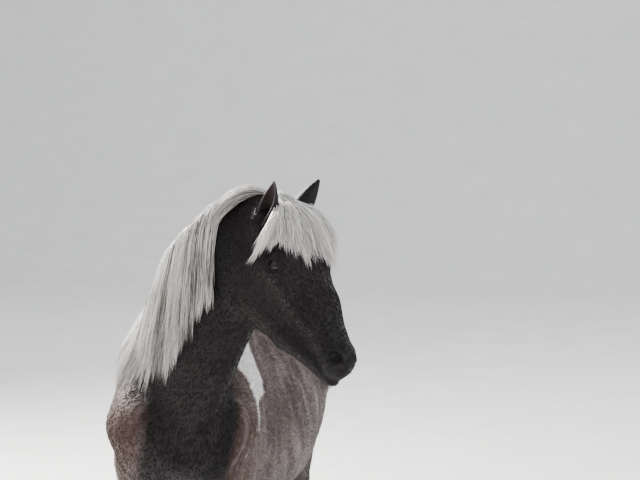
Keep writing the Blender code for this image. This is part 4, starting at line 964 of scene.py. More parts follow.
def part_of_horse(obj, material, slot, *nodes):
    """Gives a piece its material and its place in the model, and the nodes that it replaces."""
    obj.data.materials.append(material)
    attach(obj, "root")
    if nodes:
        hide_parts(*nodes)


def face_outwards(obj):
    """Turns every face of a closed mesh to look out."""
    bm = bmesh.new()
    bm.from_mesh(obj.data)
    bmesh.ops.recalc_face_normals(bm, faces=bm.faces)
    bm.to_mesh(obj.data)
    bm.free()


# Materials


def shader_of(name, rough, specular=0.5):
    material = bpy.data.materials.new(name)
    material.use_nodes = True
    shader = material.node_tree.nodes["Principled BSDF"]
    shader.inputs["Roughness"].default_value = rough
    shader.inputs["Specular IOR Level"].default_value = specular
    return material, material.node_tree, shader


def node(tree, kind, **values):
    made = tree.nodes.new(kind)
    for key, value in values.items():
        setattr(made, key, value)
    return made


def noise_node(tree, vector, scale, detail=3.0, rough=0.6):
    made = node(tree, "ShaderNodeTexNoise")
    made.inputs["Scale"].default_value = scale
    made.inputs["Detail"].default_value = detail
    made.inputs["Roughness"].default_value = rough
    tree.links.new(vector, made.inputs["Vector"])
    return made.outputs["Fac"]


def ramp(tree, source, stops):
    made = node(tree, "ShaderNodeValToRGB")
    while len(made.color_ramp.elements) < len(stops):
        made.color_ramp.elements.new(0.5)
    for element, (at, grey) in zip(made.color_ramp.elements, stops):
        element.position = at
        element.color = (grey, grey, grey, 1.0) if np.isscalar(grey) else (*grey, 1.0)
    tree.links.new(source, made.inputs["Fac"])
    return made.outputs["Color"]


def times(tree, a, b, share=1.0):
    made = node(tree, "ShaderNodeMix", data_type="RGBA", blend_type="MULTIPLY")
    made.inputs["Factor"].default_value = share
    tree.links.new(a, made.inputs["A"])
    tree.links.new(b, made.inputs["B"])
    return made.outputs["Result"]


def bumped(tree, shader, height, strength, distance):
    made = node(tree, "ShaderNodeBump")
    made.inputs["Strength"].default_value = strength
    made.inputs["Distance"].default_value = distance
    tree.links.new(height, made.inputs["Height"])
    tree.links.new(made.outputs["Normal"], shader.inputs["Normal"])


def attribute(tree, name):
    return node(tree, "ShaderNodeAttribute", attribute_name=name)


def stretched(tree, scale):
    """A piece's own resting coordinates, stretched. Long spans are those with a small scale."""
    at = attribute(tree, "rest")
    mapping = node(tree, "ShaderNodeMapping")
    mapping.inputs["Scale"].default_value = scale
    tree.links.new(at.outputs["Vector"], mapping.inputs["Vector"])
    return mapping.outputs["Vector"]


def coat_material(name, rough, relief, shine=0.22):
    """Short hair: the painted tone, broken by fine streaks that run along its lie."""
    material, tree, shader = shader_of(name, rough, shine)
    tone = attribute(tree, "tone").outputs["Color"]
    along = stretched(tree, (1.0, 1.0, 0.10))
    hairs = noise_node(tree, along, 420.0, 4.0)
    patches = noise_node(tree, along, 70.0, 3.0)
    colour = times(tree, tone, ramp(tree, hairs, ((0.25, 0.55), (0.75, 1.35))))
    colour = times(tree, colour, ramp(tree, patches, ((0.25, 0.75), (0.75, 1.20))))
    tree.links.new(colour, shader.inputs["Base Color"])
    shader.inputs["Sheen Weight"].default_value = 0.04
    shader.inputs["Sheen Roughness"].default_value = 0.35
    bumped(tree, shader, hairs, relief, 0.002)
    return material


def hair_material(name, rough):
    """Long hair: each strand's own tone with a fine grain along it."""
    material, tree, shader = shader_of(name, rough, 0.45)
    tone = attribute(tree, "tone").outputs["Color"]
    along = stretched(tree, (1.0, 1.0, 0.25))
    grain = noise_node(tree, along, 300.0, 3.0)
    colour = times(tree, tone, ramp(tree, grain, ((0.25, 0.80), (0.75, 1.12))))
    tree.links.new(colour, shader.inputs["Base Color"])
    shader.inputs["Sheen Weight"].default_value = 0.10
    bumped(tree, shader, grain, 0.25, 0.0006)
    return material


def hoof_material():
    """Horn with rings of growth and fine grain down the wall."""
    material, tree, shader = shader_of("hoof_horn", 0.42, 0.4)
    growth = noise_node(tree, stretched(tree, (6.0, 6.0, 90.0)), 1.0, 2.0)
    grain = noise_node(tree, stretched(tree, (260.0, 260.0, 14.0)), 1.0, 3.0)
    tone = ramp(tree, growth, ((0.30, srgb(92, 80, 68)), (0.70, srgb(158, 142, 122))))
    colour = times(tree, tone, ramp(tree, grain, ((0.30, 0.70), (0.70, 1.10))))
    tree.links.new(colour, shader.inputs["Base Color"])
    bumped(tree, shader, growth, 0.5, 0.0012)
    return material


def eye_material():
    """The painted tone of the eye, with fine fibres, under a wet surface."""
    material, tree, shader = shader_of("eye_wet", 0.10, 0.35)
    tone = attribute(tree, "tone").outputs["Color"]
    at = attribute(tree, "rest").outputs["Vector"]
    fibres = noise_node(tree, at, 900.0, 3.0)
    colour = times(tree, tone, ramp(tree, fibres, ((0.3, 0.7), (0.7, 1.2))))
    tree.links.new(colour, shader.inputs["Base Color"])
    shader.inputs["Coat Weight"].default_value = 0.25
    shader.inputs["Coat Roughness"].default_value = 0.03
    return material


def bare_material():
    """Bare dark skin of the lid rims."""
    material, tree, shader = shader_of("bare_skin", 0.38, 0.5)
    at = attribute(tree, "rest").outputs["Vector"]
    pores = noise_node(tree, at, 500.0, 4.0)
    tone = ramp(tree, pores, ((0.25, srgb(22, 19, 20)), (0.75, srgb(52, 44, 45))))
    tree.links.new(tone, shader.inputs["Base Color"])
    bumped(tree, shader, pores, 0.4, 0.0008)
    return material


# Skin


def flow_of(p):
    """Coordinates whose third one runs along the lie of the coat, for streaks."""
    head = on_head(p)[:, None]
    low = smoothstep((0.78 - p[:, 2]) / 0.16)[:, None]
    a, d, x = head_place(p)
    trunk = np.stack([p[:, 0], p[:, 2] + 0.3 * p[:, 1], p[:, 1]], 1)
    face = np.stack([x, d, a], 1)
    out = trunk * (1 - low) + p * low
    return out * (1 - head) + face * head


def relax(points, quads, rounds, share):
    """Evens a mesh out by moving each point towards the middle of its neighbours."""
    edges = np.concatenate([quads[:, [0, 1]], quads[:, [1, 2]], quads[:, [2, 3]], quads[:, [3, 0]]])
    count = np.bincount(edges.ravel(), minlength=len(points))[:, None]
    for _ in range(rounds):
        total = np.zeros_like(points)
        for k in range(3):
            total[:, k] = np.bincount(edges[:, 0], points[edges[:, 1], k], len(points))
            total[:, k] += np.bincount(edges[:, 1], points[edges[:, 0], k], len(points))
        points = points + (total / count - points) * share
    return points


def normals_of(points, quads):
    a, b = points[quads[:, 2]] - points[quads[:, 0]], points[quads[:, 3]] - points[quads[:, 1]]
    face = np.cross(a, b)
    out = np.zeros_like(points)
    for k in range(3):
        for corner in range(4):
            out[:, k] += np.bincount(quads[:, corner], face[:, k], len(points))
    return out / (np.linalg.norm(out, axis=1, keepdims=True) + 1e-12), face


def skin_relief(p):
    """Folds, veins and muscle that stand out of the skin or sink into it, in metres."""
    head = on_head(p)
    a, d = head_place(p)[:2]
    broad = 0.0016 * noise(p, 9, 21) + 0.0008 * noise(p, 24, 22)
    # Wrinkles round the mouth corner and the nostril.
    near_mouth = np.exp(-(((a - 0.44) / 0.03) ** 2 + ((d + 0.034) / 0.03) ** 2)) * head
    wrinkles = 0.0009 * np.sin((a * 0.8 + d * 0.6) * 620.0) * near_mouth
    # Fine folds above the eye.
    ex, ed = a - EYE[0], d - EYE[1] - 0.030
    near_eye = np.exp(-((ex / 0.03) ** 2 + (ed / 0.012) ** 2)) * head
    folds = 0.0008 * np.sin(ed * 900.0 + ex * 120.0) * near_eye
    # A vein down the cheek.
    vein_at = -0.030 - 0.55 * (a - 0.30) + 0.004 * np.sin(a * 90.0)
    vein = 0.0016 * np.exp(-(((d - vein_at) / 0.0045) ** 2)) * head
    vein = vein * smoothstep((a - 0.25) / 0.03) * smoothstep((0.42 - a) / 0.04)
    return broad * (1.0 - 0.6 * head) + wrinkles + folds + vein


def skin_grid():
    xs = graded((0.0, 0.175, 0.40), (FINE_CELL, CELL))
    ys = graded((-1.42, -0.86, 0.82), (FINE_CELL, CELL))
    zs = graded((0.0, 1.14, 1.74), (CELL, FINE_CELL))
    return xs, ys, zs


def sink_skin(field):
    """Moves the skin in by the coat's depth, which is least on the face and the lower legs."""
    y = field.axes[1][None, :, None]
    z = field.axes[2][None, None, :]
    body = smoothstep((y - HEAD_CUT) / 0.20) * (0.5 + 0.5 * smoothstep((z - 0.25) / 0.40))
    field.d += (FACE_COAT + (COAT - FACE_COAT) * body).astype(np.float32)
    # The legs end inside the hooves, just under the slope of the coronet.
    foot = np.where(y < 0.0, FORE_Y, HIND_Y) - HOOF_AHEAD
    under = FOOT_END - CORONET_SLOPE * (y - foot) - z
    low = (z < 0.12) & (np.abs(y - foot) < 0.12)
    field.d = np.where(low, np.maximum(field.d, under * 0.9), field.d).astype(np.float32)
    field.d[:, :, 0] = np.maximum(field.d[:, :, 0], 0.002)


class Skin:
    """The straight horse's skin with what coat and hair need of it."""

    def __init__(self, points, quads):
        self.points = points
        self.quads = quads
        self.normals, face = normals_of(points, quads)
        self.areas = np.linalg.norm(face, axis=1) / 2
        self.face_ways = face / (self.areas[:, None] * 2 + 1e-12)

    def scatter(self, count, weight, rng):
        """Random places on the skin, as often as its area and a weight say."""
        middles = self.points[self.quads].mean(axis=1)
        share = np.cumsum(self.areas * weight(middles))
        chosen = np.searchsorted(share, rng.uniform(0.0, share[-1], count))
        quad = self.quads[chosen]
        u, v = rng.random(count)[:, None], rng.random(count)[:, None]
        p = self.points
        low = p[quad[:, 0]] * (1 - u) + p[quad[:, 1]] * u
        high = p[quad[:, 3]] * (1 - u) + p[quad[:, 2]] * u
        normal = self.normals[quad].mean(axis=1)
        normal /= np.linalg.norm(normal, axis=1, keepdims=True) + 1e-12
        return low * (1 - v) + high * v, normal, self.face_ways[chosen]


def build_skin(field):
    points, quads = surface(field)
    # Eyes and nostrils keep their edges.
    sharp = np.minimum(distance_to(points, EYE), distance_to(points, NOSTRIL))
    hold = smoothstep((sharp - 0.020) / 0.03)[:, None]
    smooth = relax(points, quads, 3, 0.5)
    points = points + (smooth - points) * (0.25 + 0.75 * hold)
    normals = normals_of(points, quads)[0]
    points = points + normals * skin_relief(points)[:, None]
    return Skin(points, quads)


def skin_object(skin, material, nodes):
    ways = np.repeat(skin.face_ways, 4, axis=0)
    uv = atlas(skin.points[skin.quads.ravel()], ways)
    uv_middle = atlas(np.repeat(skin.points[skin.quads].mean(axis=1), 4, axis=0), ways)
    # A face keeps to the tile of its own middle.
    torn = np.abs(uv - uv_middle).max(axis=1) > 0.05
    uv[torn] = uv_middle[torn]
    obj = new_mesh(
        "skin", placed(skin.points), skin.quads.ravel(), np.full(len(skin.quads), 4), uv,
        coat_colour(skin.points), flow_of(skin.points),
    )
    part_of_horse(obj, material, "coat", *nodes)


# Coat


def unit(v):
    return v / (np.linalg.norm(v, axis=-1, keepdims=True) + 1e-12)


def tuft_mesh(name, roots, normals, face_ways, length, width, rise, colour):
    """Tufts of hair, each a flat kite of four faces from its root to its tip."""
    way = lie(roots)
    way = unit(way - normals * (way * normals).sum(axis=1, keepdims=True))
    across = unit(np.cross(way, normals))
    length, width, rise = (np.asarray(v)[:, None] for v in (length, width, rise))
    start = roots - normals * 0.0010
    belly = roots + way * length * 0.42 + normals * rise * 0.75
    tip = roots + way * length + normals * rise
    points = np.stack([start, belly - across * width / 2, belly + across * width / 2, tip], 1)
    rest = flow_of(points.reshape(-1, 3))
    count = len(roots)
    faces = np.array([[0, 1, 2], [1, 3, 2], [0, 3, 1], [0, 2, 3]])
    faces = (np.arange(count)[:, None, None] * 4 + faces[None]).reshape(-1)
    root_uv = atlas(roots, face_ways)
    local = np.array([[-0.5, -0.5], [-0.5, 0.5], [0.5, -0.5], [0.5, 0.5]]) * PATCH
    uv = (root_uv[:, None, :] + local[None]).reshape(-1, 2)[faces]
    return new_mesh(
        name, placed(points.reshape(-1, 3)), faces, np.full(count * 4, 3), uv,
        np.repeat(colour, 4, axis=0), rest,
    )


def streaked(p, colour, rng, spread_by):
    """Each tuft's own tone: darker or lighter than the coat at its root."""
    own = 1.0 + spread_by * rng.normal(size=(len(p), 1))
    return np.clip(colour * np.clip(own, 0.35, 2.2), 0.0, 0.95)


def coat(skin, material):
    """Short tufts over the body in equal pieces, and smaller ones on the face."""
    rng = np.random.default_rng(11)

    def on_trunk(p):
        return 1.0 - on_head(p)

    def on_face(p):
        return on_head(p) * (distance_to(p, EYE) > EYE_CLEAR)

    count = BODY_TUFTS
    for index in range(COAT_PIECES):
        p, n, f = skin.scatter(count, on_trunk, rng)
        low = smoothstep((0.75 - p[:, 2]) / 0.3)
        length = (0.016 - 0.004 * low) * rng.uniform(0.7, 1.3, count)
        width = (0.0014 - 0.0002 * low) * rng.uniform(0.7, 1.3, count)
        rise = (0.0016 - 0.0006 * low) * rng.uniform(0.5, 1.5, count)
        colour = streaked(p, coat_colour(p, 1.3), rng, 0.10)
        obj = tuft_mesh(f"coat_{index}", p, n, f, length, width, rise, colour)
        part_of_horse(obj, material, "coat")
    count = FACE_TUFTS
    p, n, f = skin.scatter(count, on_face, rng)
    small = 1.0 - 0.45 * smoothstep((head_place(p)[0] - 0.30) / 0.15)
    length = 0.0095 * small * rng.uniform(0.7, 1.3, count)
    width = 0.0012 * rng.uniform(0.7, 1.3, count)
    rise = 0.0010 * rng.uniform(0.6, 1.4, count)
    colour = streaked(p, coat_colour(p), rng, 0.10)
    obj = tuft_mesh("coat_face", p, n, f, length, width, rise, colour)
    part_of_horse(obj, material, "coat")


# Long hair

# A strand's width from root to tip, as a share of the full one.
HAIR_TAPER = (0.9, 1.0, 1.0, 1.0, 0.95, 0.9, 0.8, 0.65, 0.45, 0.2)


def strands(name, paths, outs, widths, colours, material, nodes=(), roots=None, ways=None):
    """A piece of hair along paths: thin, three-sided, closed, each strand running out to a point."""
    count, rows = paths.shape[:2]
    taper = np.interp(np.linspace(0, 1, rows), np.linspace(0, 1, len(HAIR_TAPER)), HAIR_TAPER)
    bent = placed(paths.reshape(-1, 3)).reshape(paths.shape)
    ahead = placed((paths + outs * 0.01).reshape(-1, 3)).reshape(paths.shape)
    out = unit(ahead - bent)
    along = unit(np.gradient(bent, axis=1))
    across = unit(np.cross(along, out))
    up = np.cross(across, along)
    wide = (widths[:, None] * taper[None, :])[..., None]
    half = across * wide / 2
    ridge = up * wide * 0.45
    rings = np.stack([bent - half, bent + ridge, bent + half], 2)[:, :-1]
    each = (rows - 1) * 3 + 1
    points = np.concatenate([rings.reshape(count, -1, 3), bent[:, -1:]], 1)
    faces = [[0, 2, 1]]
    for i in range(rows - 2):
        for j in range(3):
            k = (j + 1) % 3
            a, b, c, d = i * 3 + j, i * 3 + k, (i + 1) * 3 + k, (i + 1) * 3 + j
            faces += [[a, b, c], [a, c, d]]
    last = (rows - 2) * 3
    faces += [[last + j, last + (j + 1) % 3, each - 1] for j in range(3)]
    faces = np.array(faces)
    index = (np.arange(count)[:, None, None] * each + faces[None]).reshape(-1)
    tone = np.concatenate([np.repeat(colours[:, :-1], 3, axis=1), colours[:, -1:]], 1).reshape(-1, 3)
    lengthwise = np.concatenate([[0.0], np.cumsum(np.full(rows - 1, 1.0 / (rows - 1)))])
    down = np.concatenate([np.repeat(lengthwise[:-1], 3), [1.0]])
    rest = np.stack([
        np.repeat(np.arange(count)[:, None] * 0.37, each, 1),
        np.tile(np.concatenate([np.tile([0.0, 0.001, 0.002], rows - 1), [0.001]]), (count, 1)),
        np.tile(down, (count, 1)),
    ], 2).reshape(-1, 3)
    roots = paths[:, 0] if roots is None else roots
    ways = outs[:, 0] if ways is None else ways
    root_uv = atlas(roots, ways)
    side = np.concatenate([np.tile([-0.5, 0.0, 0.5], rows - 1), [0.0]])
    local = np.stack([side, down - 0.5], 1) * PATCH
    uv = (root_uv[:, None, :] + local[None]).reshape(-1, 2)[index]
    counts = np.full(count * len(faces), 3)
    obj = new_mesh(name, points.reshape(-1, 3), index, counts, uv, tone, rest)
    part_of_horse(obj, material, "hair", *nodes)


def outward(field, paths):
    out = gradient(field, paths.reshape(-1, 3)).reshape(paths.shape)
    for _ in range(3):
        out[:, 1:-1] = unit(out[:, :-2] + out[:, 1:-1] + out[:, 2:])
    out[:, -1] = out[:, -2]
    return out


def gathered(paths, clump, tightness, rng, wave=0.004):
    """Draws strands towards the middle of their clump as they go down, with a little wave."""
    rows = paths.shape[1]
    t = np.linspace(0.0, 1.0, rows)
    middle = np.zeros((clump.max() + 1, rows, 3))
    size = np.bincount(clump)[:, None]
    for k in range(3):
        for row in range(rows):
            middle[:, row, k] = np.bincount(clump, paths[:, row, k]) / np.maximum(size[:, 0], 1)
    pull = (tightness * t**1.3)[None, :, None]
    out = paths * (1 - pull) + middle[clump] * pull
    phase = rng.uniform(0, 2 * math.pi, (len(paths), 3))
    turns = rng.uniform(0.6, 1.8, (len(paths), 1))
    swing = np.sin(phase[:, None, :] + (t[None, :] * turns * 2 * math.pi)[..., None])
    return out + swing * wave * t[None, :, None]


def hair_tones(count, rows, light, clump, rng, root_shade=0.25):
    """Silver-white strands with grey and brown ones among them, darker at the root with painted shade. Light
    lifts them towards white; where the mane and crest give it, it also paints their sunlit and shaded parts.
    """
    own = rng.random(count) * 0.6 + rng.random(clump.max() + 1)[clump] * 0.4
    base = mix(np.tile(HAIR_GREY, (count, 1)), HAIR_WHITE, (own - 0.5) * 1.9 + light + 0.25)
    base = mix(base, HAIR_DARK, np.clip((0.46 - own - 0.45 * (light - 0.3)) * 3.0, 0.0, 0.85))
    # Painted shade: each strand darkens towards its root, under the hair lying over it.
    t = np.linspace(0.0, 1.0, rows)
    shade = 1.0 - root_shade * (1.0 - smoothstep(t / 0.35))
    return np.clip(base[:, None, :] * shade[None, :, None], 0.0, 0.95)


def lifts_of(lift, steps, count, rng):
    """How far off the skin each strand lies, with a little play from step to step."""
    return rng.uniform(*lift, count) + rng.uniform(-0.001, 0.001, (steps, count))


def clumps_of(place, low, high, clumps):
    """Which clump each strand belongs to, by its place between two ends."""
    return np.minimum(((place - low) / (high - low) * clumps).astype(int), clumps - 1)


def mane_piece(field, material, name, count, side, ends, lift, longer, seed, clumps, *nodes):
    """One layer of the mane, on the side of the neck that side's sign says."""
    rng = np.random.default_rng(seed)
    ys = np.sort(rng.uniform(*ends, count))
    clump = clumps_of(ys, *ends, clumps)
    steps = 9
    lifts = lifts_of(lift, steps, count, rng)
    lengths = longer * rng.uniform(0.70, 1.08, count) * (0.86 + 0.20 * rng.random(clumps))[clump]
    paths = mane_paths(field, ys, lifts, steps, lengths, side)
    paths[:, 0, 0] += rng.uniform(-0.012, 0.012, count)
    outs = outward(field, paths)
    paths = gathered(paths, clump, 0.45, rng)
    widths = 0.0024 * rng.uniform(0.7, 1.3, count)
    # Painted light and shade: strands turn paler towards the withers end of the crest, where the sun falls on
    # the mane, and darker towards the head, with paler and darker bands along the crest.
    share = (ys - MANE[0]) / (MANE[1] - MANE[0])
    light = 0.10 + 0.75 * share + 0.16 * np.sin(ys * 60.0)
    colours = hair_tones(count, steps + 1, light, clump, rng)
    strands(name, paths, outs, widths, colours, material, nodes)


def crest_piece(field, material):
    """Hair behind the ears that runs back along the crest into the mane."""
    rng = np.random.default_rng(38)
    count, clumps, steps = 900, 14, 8
    ys = np.sort(rng.uniform(-0.955, -0.800, count))
    clump = np.minimum((np.linspace(0.0, clumps, count, endpoint=False)).astype(int), clumps - 1)
    roots = np.stack([rng.uniform(-0.022, 0.006, count), ys, crest_at(field, ys) + 0.002], 1)
    ways = np.stack([rng.uniform(-0.7, -0.1, count), np.ones(count), np.full(count, 0.1)], 1)
    lifts = lifts_of((0.002, 0.011), steps, count, rng)
    lengths = rng.uniform(0.10, 0.24, count)
    paths = fall(field, roots, unit(ways), (-1.5, 1.0, -9.0), lengths, lifts, steps)
    outs = outward(field, paths)
    paths = gathered(paths, clump, 0.35, rng, 0.003)
    # Painted light and shade: strands rooted on top of the crest are pale where the light falls, and those
    # rooted down its right side are dark, partly their own grey-brown and partly shade.
    light = np.where(roots[:, 0] > -0.008, 0.75, 0.05)
    colours = hair_tones(count, steps + 1, light, clump, rng, 0.2)
    widths = 0.0020 * rng.uniform(0.7, 1.3, count)
    strands("mane_crest", paths, outs, widths, colours, material)


def forelock_piece(field, material, name, count, lift, longer, seed, *nodes):
    """One layer of the forelock."""
    rng = np.random.default_rng(seed)
    clumps = 26
    across = np.sort(rng.uniform(-1.0, 1.0, count))
    clump = clumps_of(across, -1.0, 1.0, clumps)
    spots = np.stack([across, rng.uniform(-0.9, 0.9, count)], 1)
    steps = 8
    lifts = lifts_of(lift, steps, count, rng)
    lengths = longer * rng.uniform(0.66, 1.08, count) * (0.86 + 0.22 * rng.random(clumps))[clump]
    paths = forelock_paths(field, spots, lifts, steps, lengths)
    outs = outward(field, paths)
    paths = gathered(paths, clump, 0.35, rng, 0.003)
    widths = 0.0020 * rng.uniform(0.7, 1.3, count)
    colours = hair_tones(count, steps + 1, np.full(count, 0.72), clump, rng, 0.30)
    strands(name, paths, outs, widths, colours, material, nodes)


def tail_piece(material, name, count, seed, *nodes):
    """Half of the tail's strands, spread through its full width."""
    rng = np.random.default_rng(seed)
    clumps = 40
    angles = np.sort(rng.uniform(0.0, 2.0 * math.pi, count))
    clump = clumps_of(angles, 0.0, 2.0 * math.pi, clumps)
    steps = 10
    lengths = rng.uniform(0.72, 1.02, count) * (0.95 + 0.08 * rng.random(clumps))[clump]
    radius = np.sqrt(rng.uniform(0.05, 1.0, count))
    paths = tail_paths(angles, radius, steps, lengths)
    middle = tail_paths(angles, 0.0, steps, lengths)
    outs = unit(paths - middle + (0.0, 1e-6, 0.0))
    paths = gathered(paths, clump, 0.25, rng, 0.006)
    widths = 0.0026 * rng.uniform(0.7, 1.3, count)
    colours = hair_tones(count, steps + 1, np.full(count, 0.60), clump, rng, 0.45)
    roots = np.tile([0.0, 0.70, 1.12], (count, 1)) + outs[:, 0] * 0.02
    ways = np.tile([0.0, 1.0, 0.2], (count, 1))
    strands(name, paths, outs, widths, colours, material, nodes, roots, ways)


def feather_piece(field, material):
    """The longer hair behind each fetlock, down over the heel of the hoof."""
    rng = np.random.default_rng(41)
    count = 520
    paths = []
    for x, y in ((FORE_X, FORE_Y), (HIND_X, HIND_Y)):
        for side in (1.0, -1.0):
            turn = rng.normal(0.0, 0.75, count)
            height = rng.uniform(0.085, 0.215, count)
            start = np.stack([
                side * x + np.sin(turn) * 0.030,
                y + np.cos(turn) * 0.030 - np.interp(height, (0.09, 0.19), (0.040, 0.0)),
                height,
            ], 1)
            way = np.stack([np.sin(turn) * 0.5, np.cos(turn) * 0.6, -np.ones(count)], 1)
            length = np.interp(height, (0.085, 0.15, 0.215), (0.030, 0.050, 0.035))
            length = length * rng.uniform(0.7, 1.2, count)
            paths.append(fall(field, start, unit(way), (0.0, 0.0, -20.0), length, 0.004, 5))
    paths = np.concatenate(paths)
    paths[..., 2] = np.maximum(paths[..., 2], 0.003)
    outs = outward(field, paths)
    count = len(paths)
    clump = rng.integers(0, 60, count)
    colours = hair_tones(count, 6, np.full(count, 0.85), clump, rng, 0.1)
    widths = 0.0019 * rng.uniform(0.7, 1.3, count)
    strands("feathers", paths, outs, widths, colours, material)


def whisker_piece(material):
    """Fine hairs under the chin and the lower lip."""
    rng = np.random.default_rng(42)
    count, steps = 260, 5
    a = rng.uniform(0.440, 0.520, count)
    side = rng.normal(0.0, 0.012, count)
    roots = np.array([head_point(u, -0.070, w) for u, w in zip(a, side)])
    ways = unit(np.array([head_way(0.35, -1.0, w * 14.0) for w in side]))
    ways += rng.normal(0.0, 0.15, (count, 3))
    length = rng.uniform(0.010, 0.030, count)
    t = np.linspace(0.0, 1.0, steps + 1)
    paths = roots[:, None] + ways[:, None] * (length[:, None] * t)[..., None]
    paths[..., 2] -= 0.25 * length[:, None] * t**2
    outs = unit(np.cross(np.repeat(ways[:, None], steps + 1, 1), (1.0, 0.0, 0.0)))
    colours = np.tile(CHOCOLATE * 1.5, (count, steps + 1, 1))
    strands("whiskers", paths, outs, np.full(count, 0.0009), colours, material)


# Ears, eyes and hooves


def smooth_grid(rows, factor):
    """A finer sheet of points through a coarse one."""
    rows = np.array(rows, float)
    for axis in (0, 1):
        count = rows.shape[axis]
        at = np.linspace(0, count - 1, (count - 1) * factor + 1)
        i = np.clip(at.astype(int), 0, count - 2)
        t = (at - i).reshape([-1 if k == axis else 1 for k in range(3)])

        def take(k):
            return np.take(rows, np.clip(k, 0, count - 1), axis)

        p0, p1, p2, p3 = take(i - 1), take(i), take(i + 1), take(i + 2)
        rows = 0.5 * (
            2 * p1 + (p2 - p0) * t + (2 * p0 - 5 * p1 + 4 * p2 - p3) * t**2
            + (3 * p1 - p0 - 3 * p2 + p3) * t**3
        )
    return rows


def ear_object(side, word, material):
    """A cupped ear, dark outside with painted rim light on the edges of its outer face, and a browner inside.
    """
    outer, inner = ear_points(side, 12, 13)
    outer, inner = smooth_grid(outer, 3), smooth_grid(inner, 3)
    rows, columns = outer.shape[:2]
    points = np.concatenate([outer.reshape(-1, 3), inner.reshape(-1, 3)])
    faces = np.array(shell_faces(rows, columns))
    colour = np.tile(BLACK * 1.1, (len(points), 1))
    half = rows * columns
    colour[half:] = CHOCOLATE * 1.6
    # Painted rim light: the outer face turns lighter towards its edges.
    rim = np.abs(np.linspace(-1, 1, columns))
    edge = np.tile(smoothstep((rim - 0.8) / 0.2), rows)
    colour[:half] = mix(colour[:half], CHOCOLATE * 1.8, edge * 0.6)
    obj = new_mesh(
        f"ear_{word}", placed(points), faces.ravel(), np.full(len(faces), 4), None, colour, points
    )
    face_outwards(obj)
    part_of_horse(obj, material, "coat", f"ear_{word}")


def eye_object(side, word, material):
    """An eyeball with its clear bulge, looking sideways and a little forward."""
    rings, around = 28, 40
    centre = placed([head_point(EYE[0], EYE[1], EYE[2] * side)])[0]
    sight = placed([head_point(EYE[0] + 0.012, EYE[1] + 0.004, (EYE[2] + 0.05) * side)])[0]
    gaze = Vector(sight - centre).normalized()
    level = Vector(placed([head_point(EYE[0] + 0.05, EYE[1], EYE[2] * side)])[0] - centre).normalized()
    level = (level - gaze * level.dot(gaze)).normalized()
    rise = gaze.cross(level)
    points, tones, rest = [], [], []
    for i in range(rings + 1):
        t = math.pi * i / rings
        bulge = 1.0 + 0.05 * math.exp(-((t / 0.45) ** 2))
        for j in range(around if 0 < i < rings else 1):
            phi = 2 * math.pi * j / around
            local = Vector((math.sin(t) * math.cos(phi), math.sin(t) * math.sin(phi), math.cos(t)))
            out = level * local.x + rise * local.y + gaze * local.z
            points.append(Vector(centre) + out * (EYE_BALL - 0.0006) * bulge)
            iris = smoothstep((0.62 - t) / 0.08)
            pupil = smoothstep((1.0 - math.hypot(local.x / 0.40, local.y / 0.24)) / 0.15)
            tone = srgb(10, 8, 8) * (1 - iris) + srgb(34, 21, 14) * iris
            tones.append(tone * (1 - pupil) + srgb(8, 8, 12) * pupil)
            rest.append(local * EYE_BALL)
    faces = []
    start = [0] + [1 + (i - 1) * around for i in range(1, rings)] + [1 + (rings - 1) * around]
    for j in range(around):
        k = (j + 1) % around
        faces.append((0, 1 + j, 1 + k))
        last = start[rings - 1]
        faces.append((start[rings], last + k, last + j))
    for i in range(1, rings - 1):
        for j in range(around):
            k = (j + 1) % around
            faces.append((start[i] + j, start[i + 1] + j, start[i + 1] + k, start[i] + k))
    counts = [len(f) for f in faces]
    obj = new_mesh(
        f"eyeball_{word}", np.array(points), [v for f in faces for v in f], counts, None,
        np.array(tones), np.array(rest),
    )
    part_of_horse(obj, material, "eye", f"eye_{word}")


def sweep(name, paths, radii, around=8):
    """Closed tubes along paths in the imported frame, joined into one mesh."""
    points, faces, counts, base = [], [], [], 0
    for path, radius in zip(paths, radii):
        path = np.asarray(path, float)
        along = unit(np.gradient(path, axis=0))
        helper = np.array([0.0, 0.0, 1.0]) if abs(along[0][2]) < 0.8 else np.array([0.0, 1.0, 0.0])
        side = unit(np.cross(along, helper))
        up = np.cross(side, along)
        for i, at in enumerate(path):
            for j in range(around):
                t = 2 * math.pi * j / around
                points.append(at + (side[i] * math.cos(t) + up[i] * math.sin(t)) * radius[i])
        rows = len(path)
        for i in range(rows - 1):
            for j in range(around):
                k = (j + 1) % around
                faces += [base + i * around + j, base + (i + 1) * around + j,
                          base + (i + 1) * around + k, base + i * around + k]
                counts.append(4)
        for i, turn in ((0, 1), (rows - 1, -1)):
            faces += [base + i * around + j for j in range(around)][::turn]
            counts.append(around)
        base += rows * around
    points = np.array(points)
    return new_mesh(name, points, faces, counts, None, None, points)


def lids(side, word, material):
    """The bare rims of both lids, following the ball."""
    def on_ball(t, height, out):
        reach = 0.0205
        a = EYE[0] + reach * math.cos(t) * 1.02
        d = EYE[1] + 0.001 + height * math.sin(t) + 0.0045 * math.cos(t)
        flat = Vector((a - EYE[0], d - EYE[1]))
        rest = max(out**2 - flat.length_squared, 1e-9)
        return head_point(a, d, (EYE[2] + math.sqrt(rest)) * side)

    paths, radii = [], []
    for height in (0.0125, -0.0105):
        ts = np.linspace(0.02, math.pi - 0.02, 19)
        path = [on_ball(t, height, EYE_BALL + 0.0012) for t in ts]
        paths.append(placed(path))
        radii.append(0.0021 * (0.55 + 0.45 * np.sin(ts)))
    obj = sweep(f"lids_{word}", paths, radii)
    part_of_horse(obj, material, "coat")


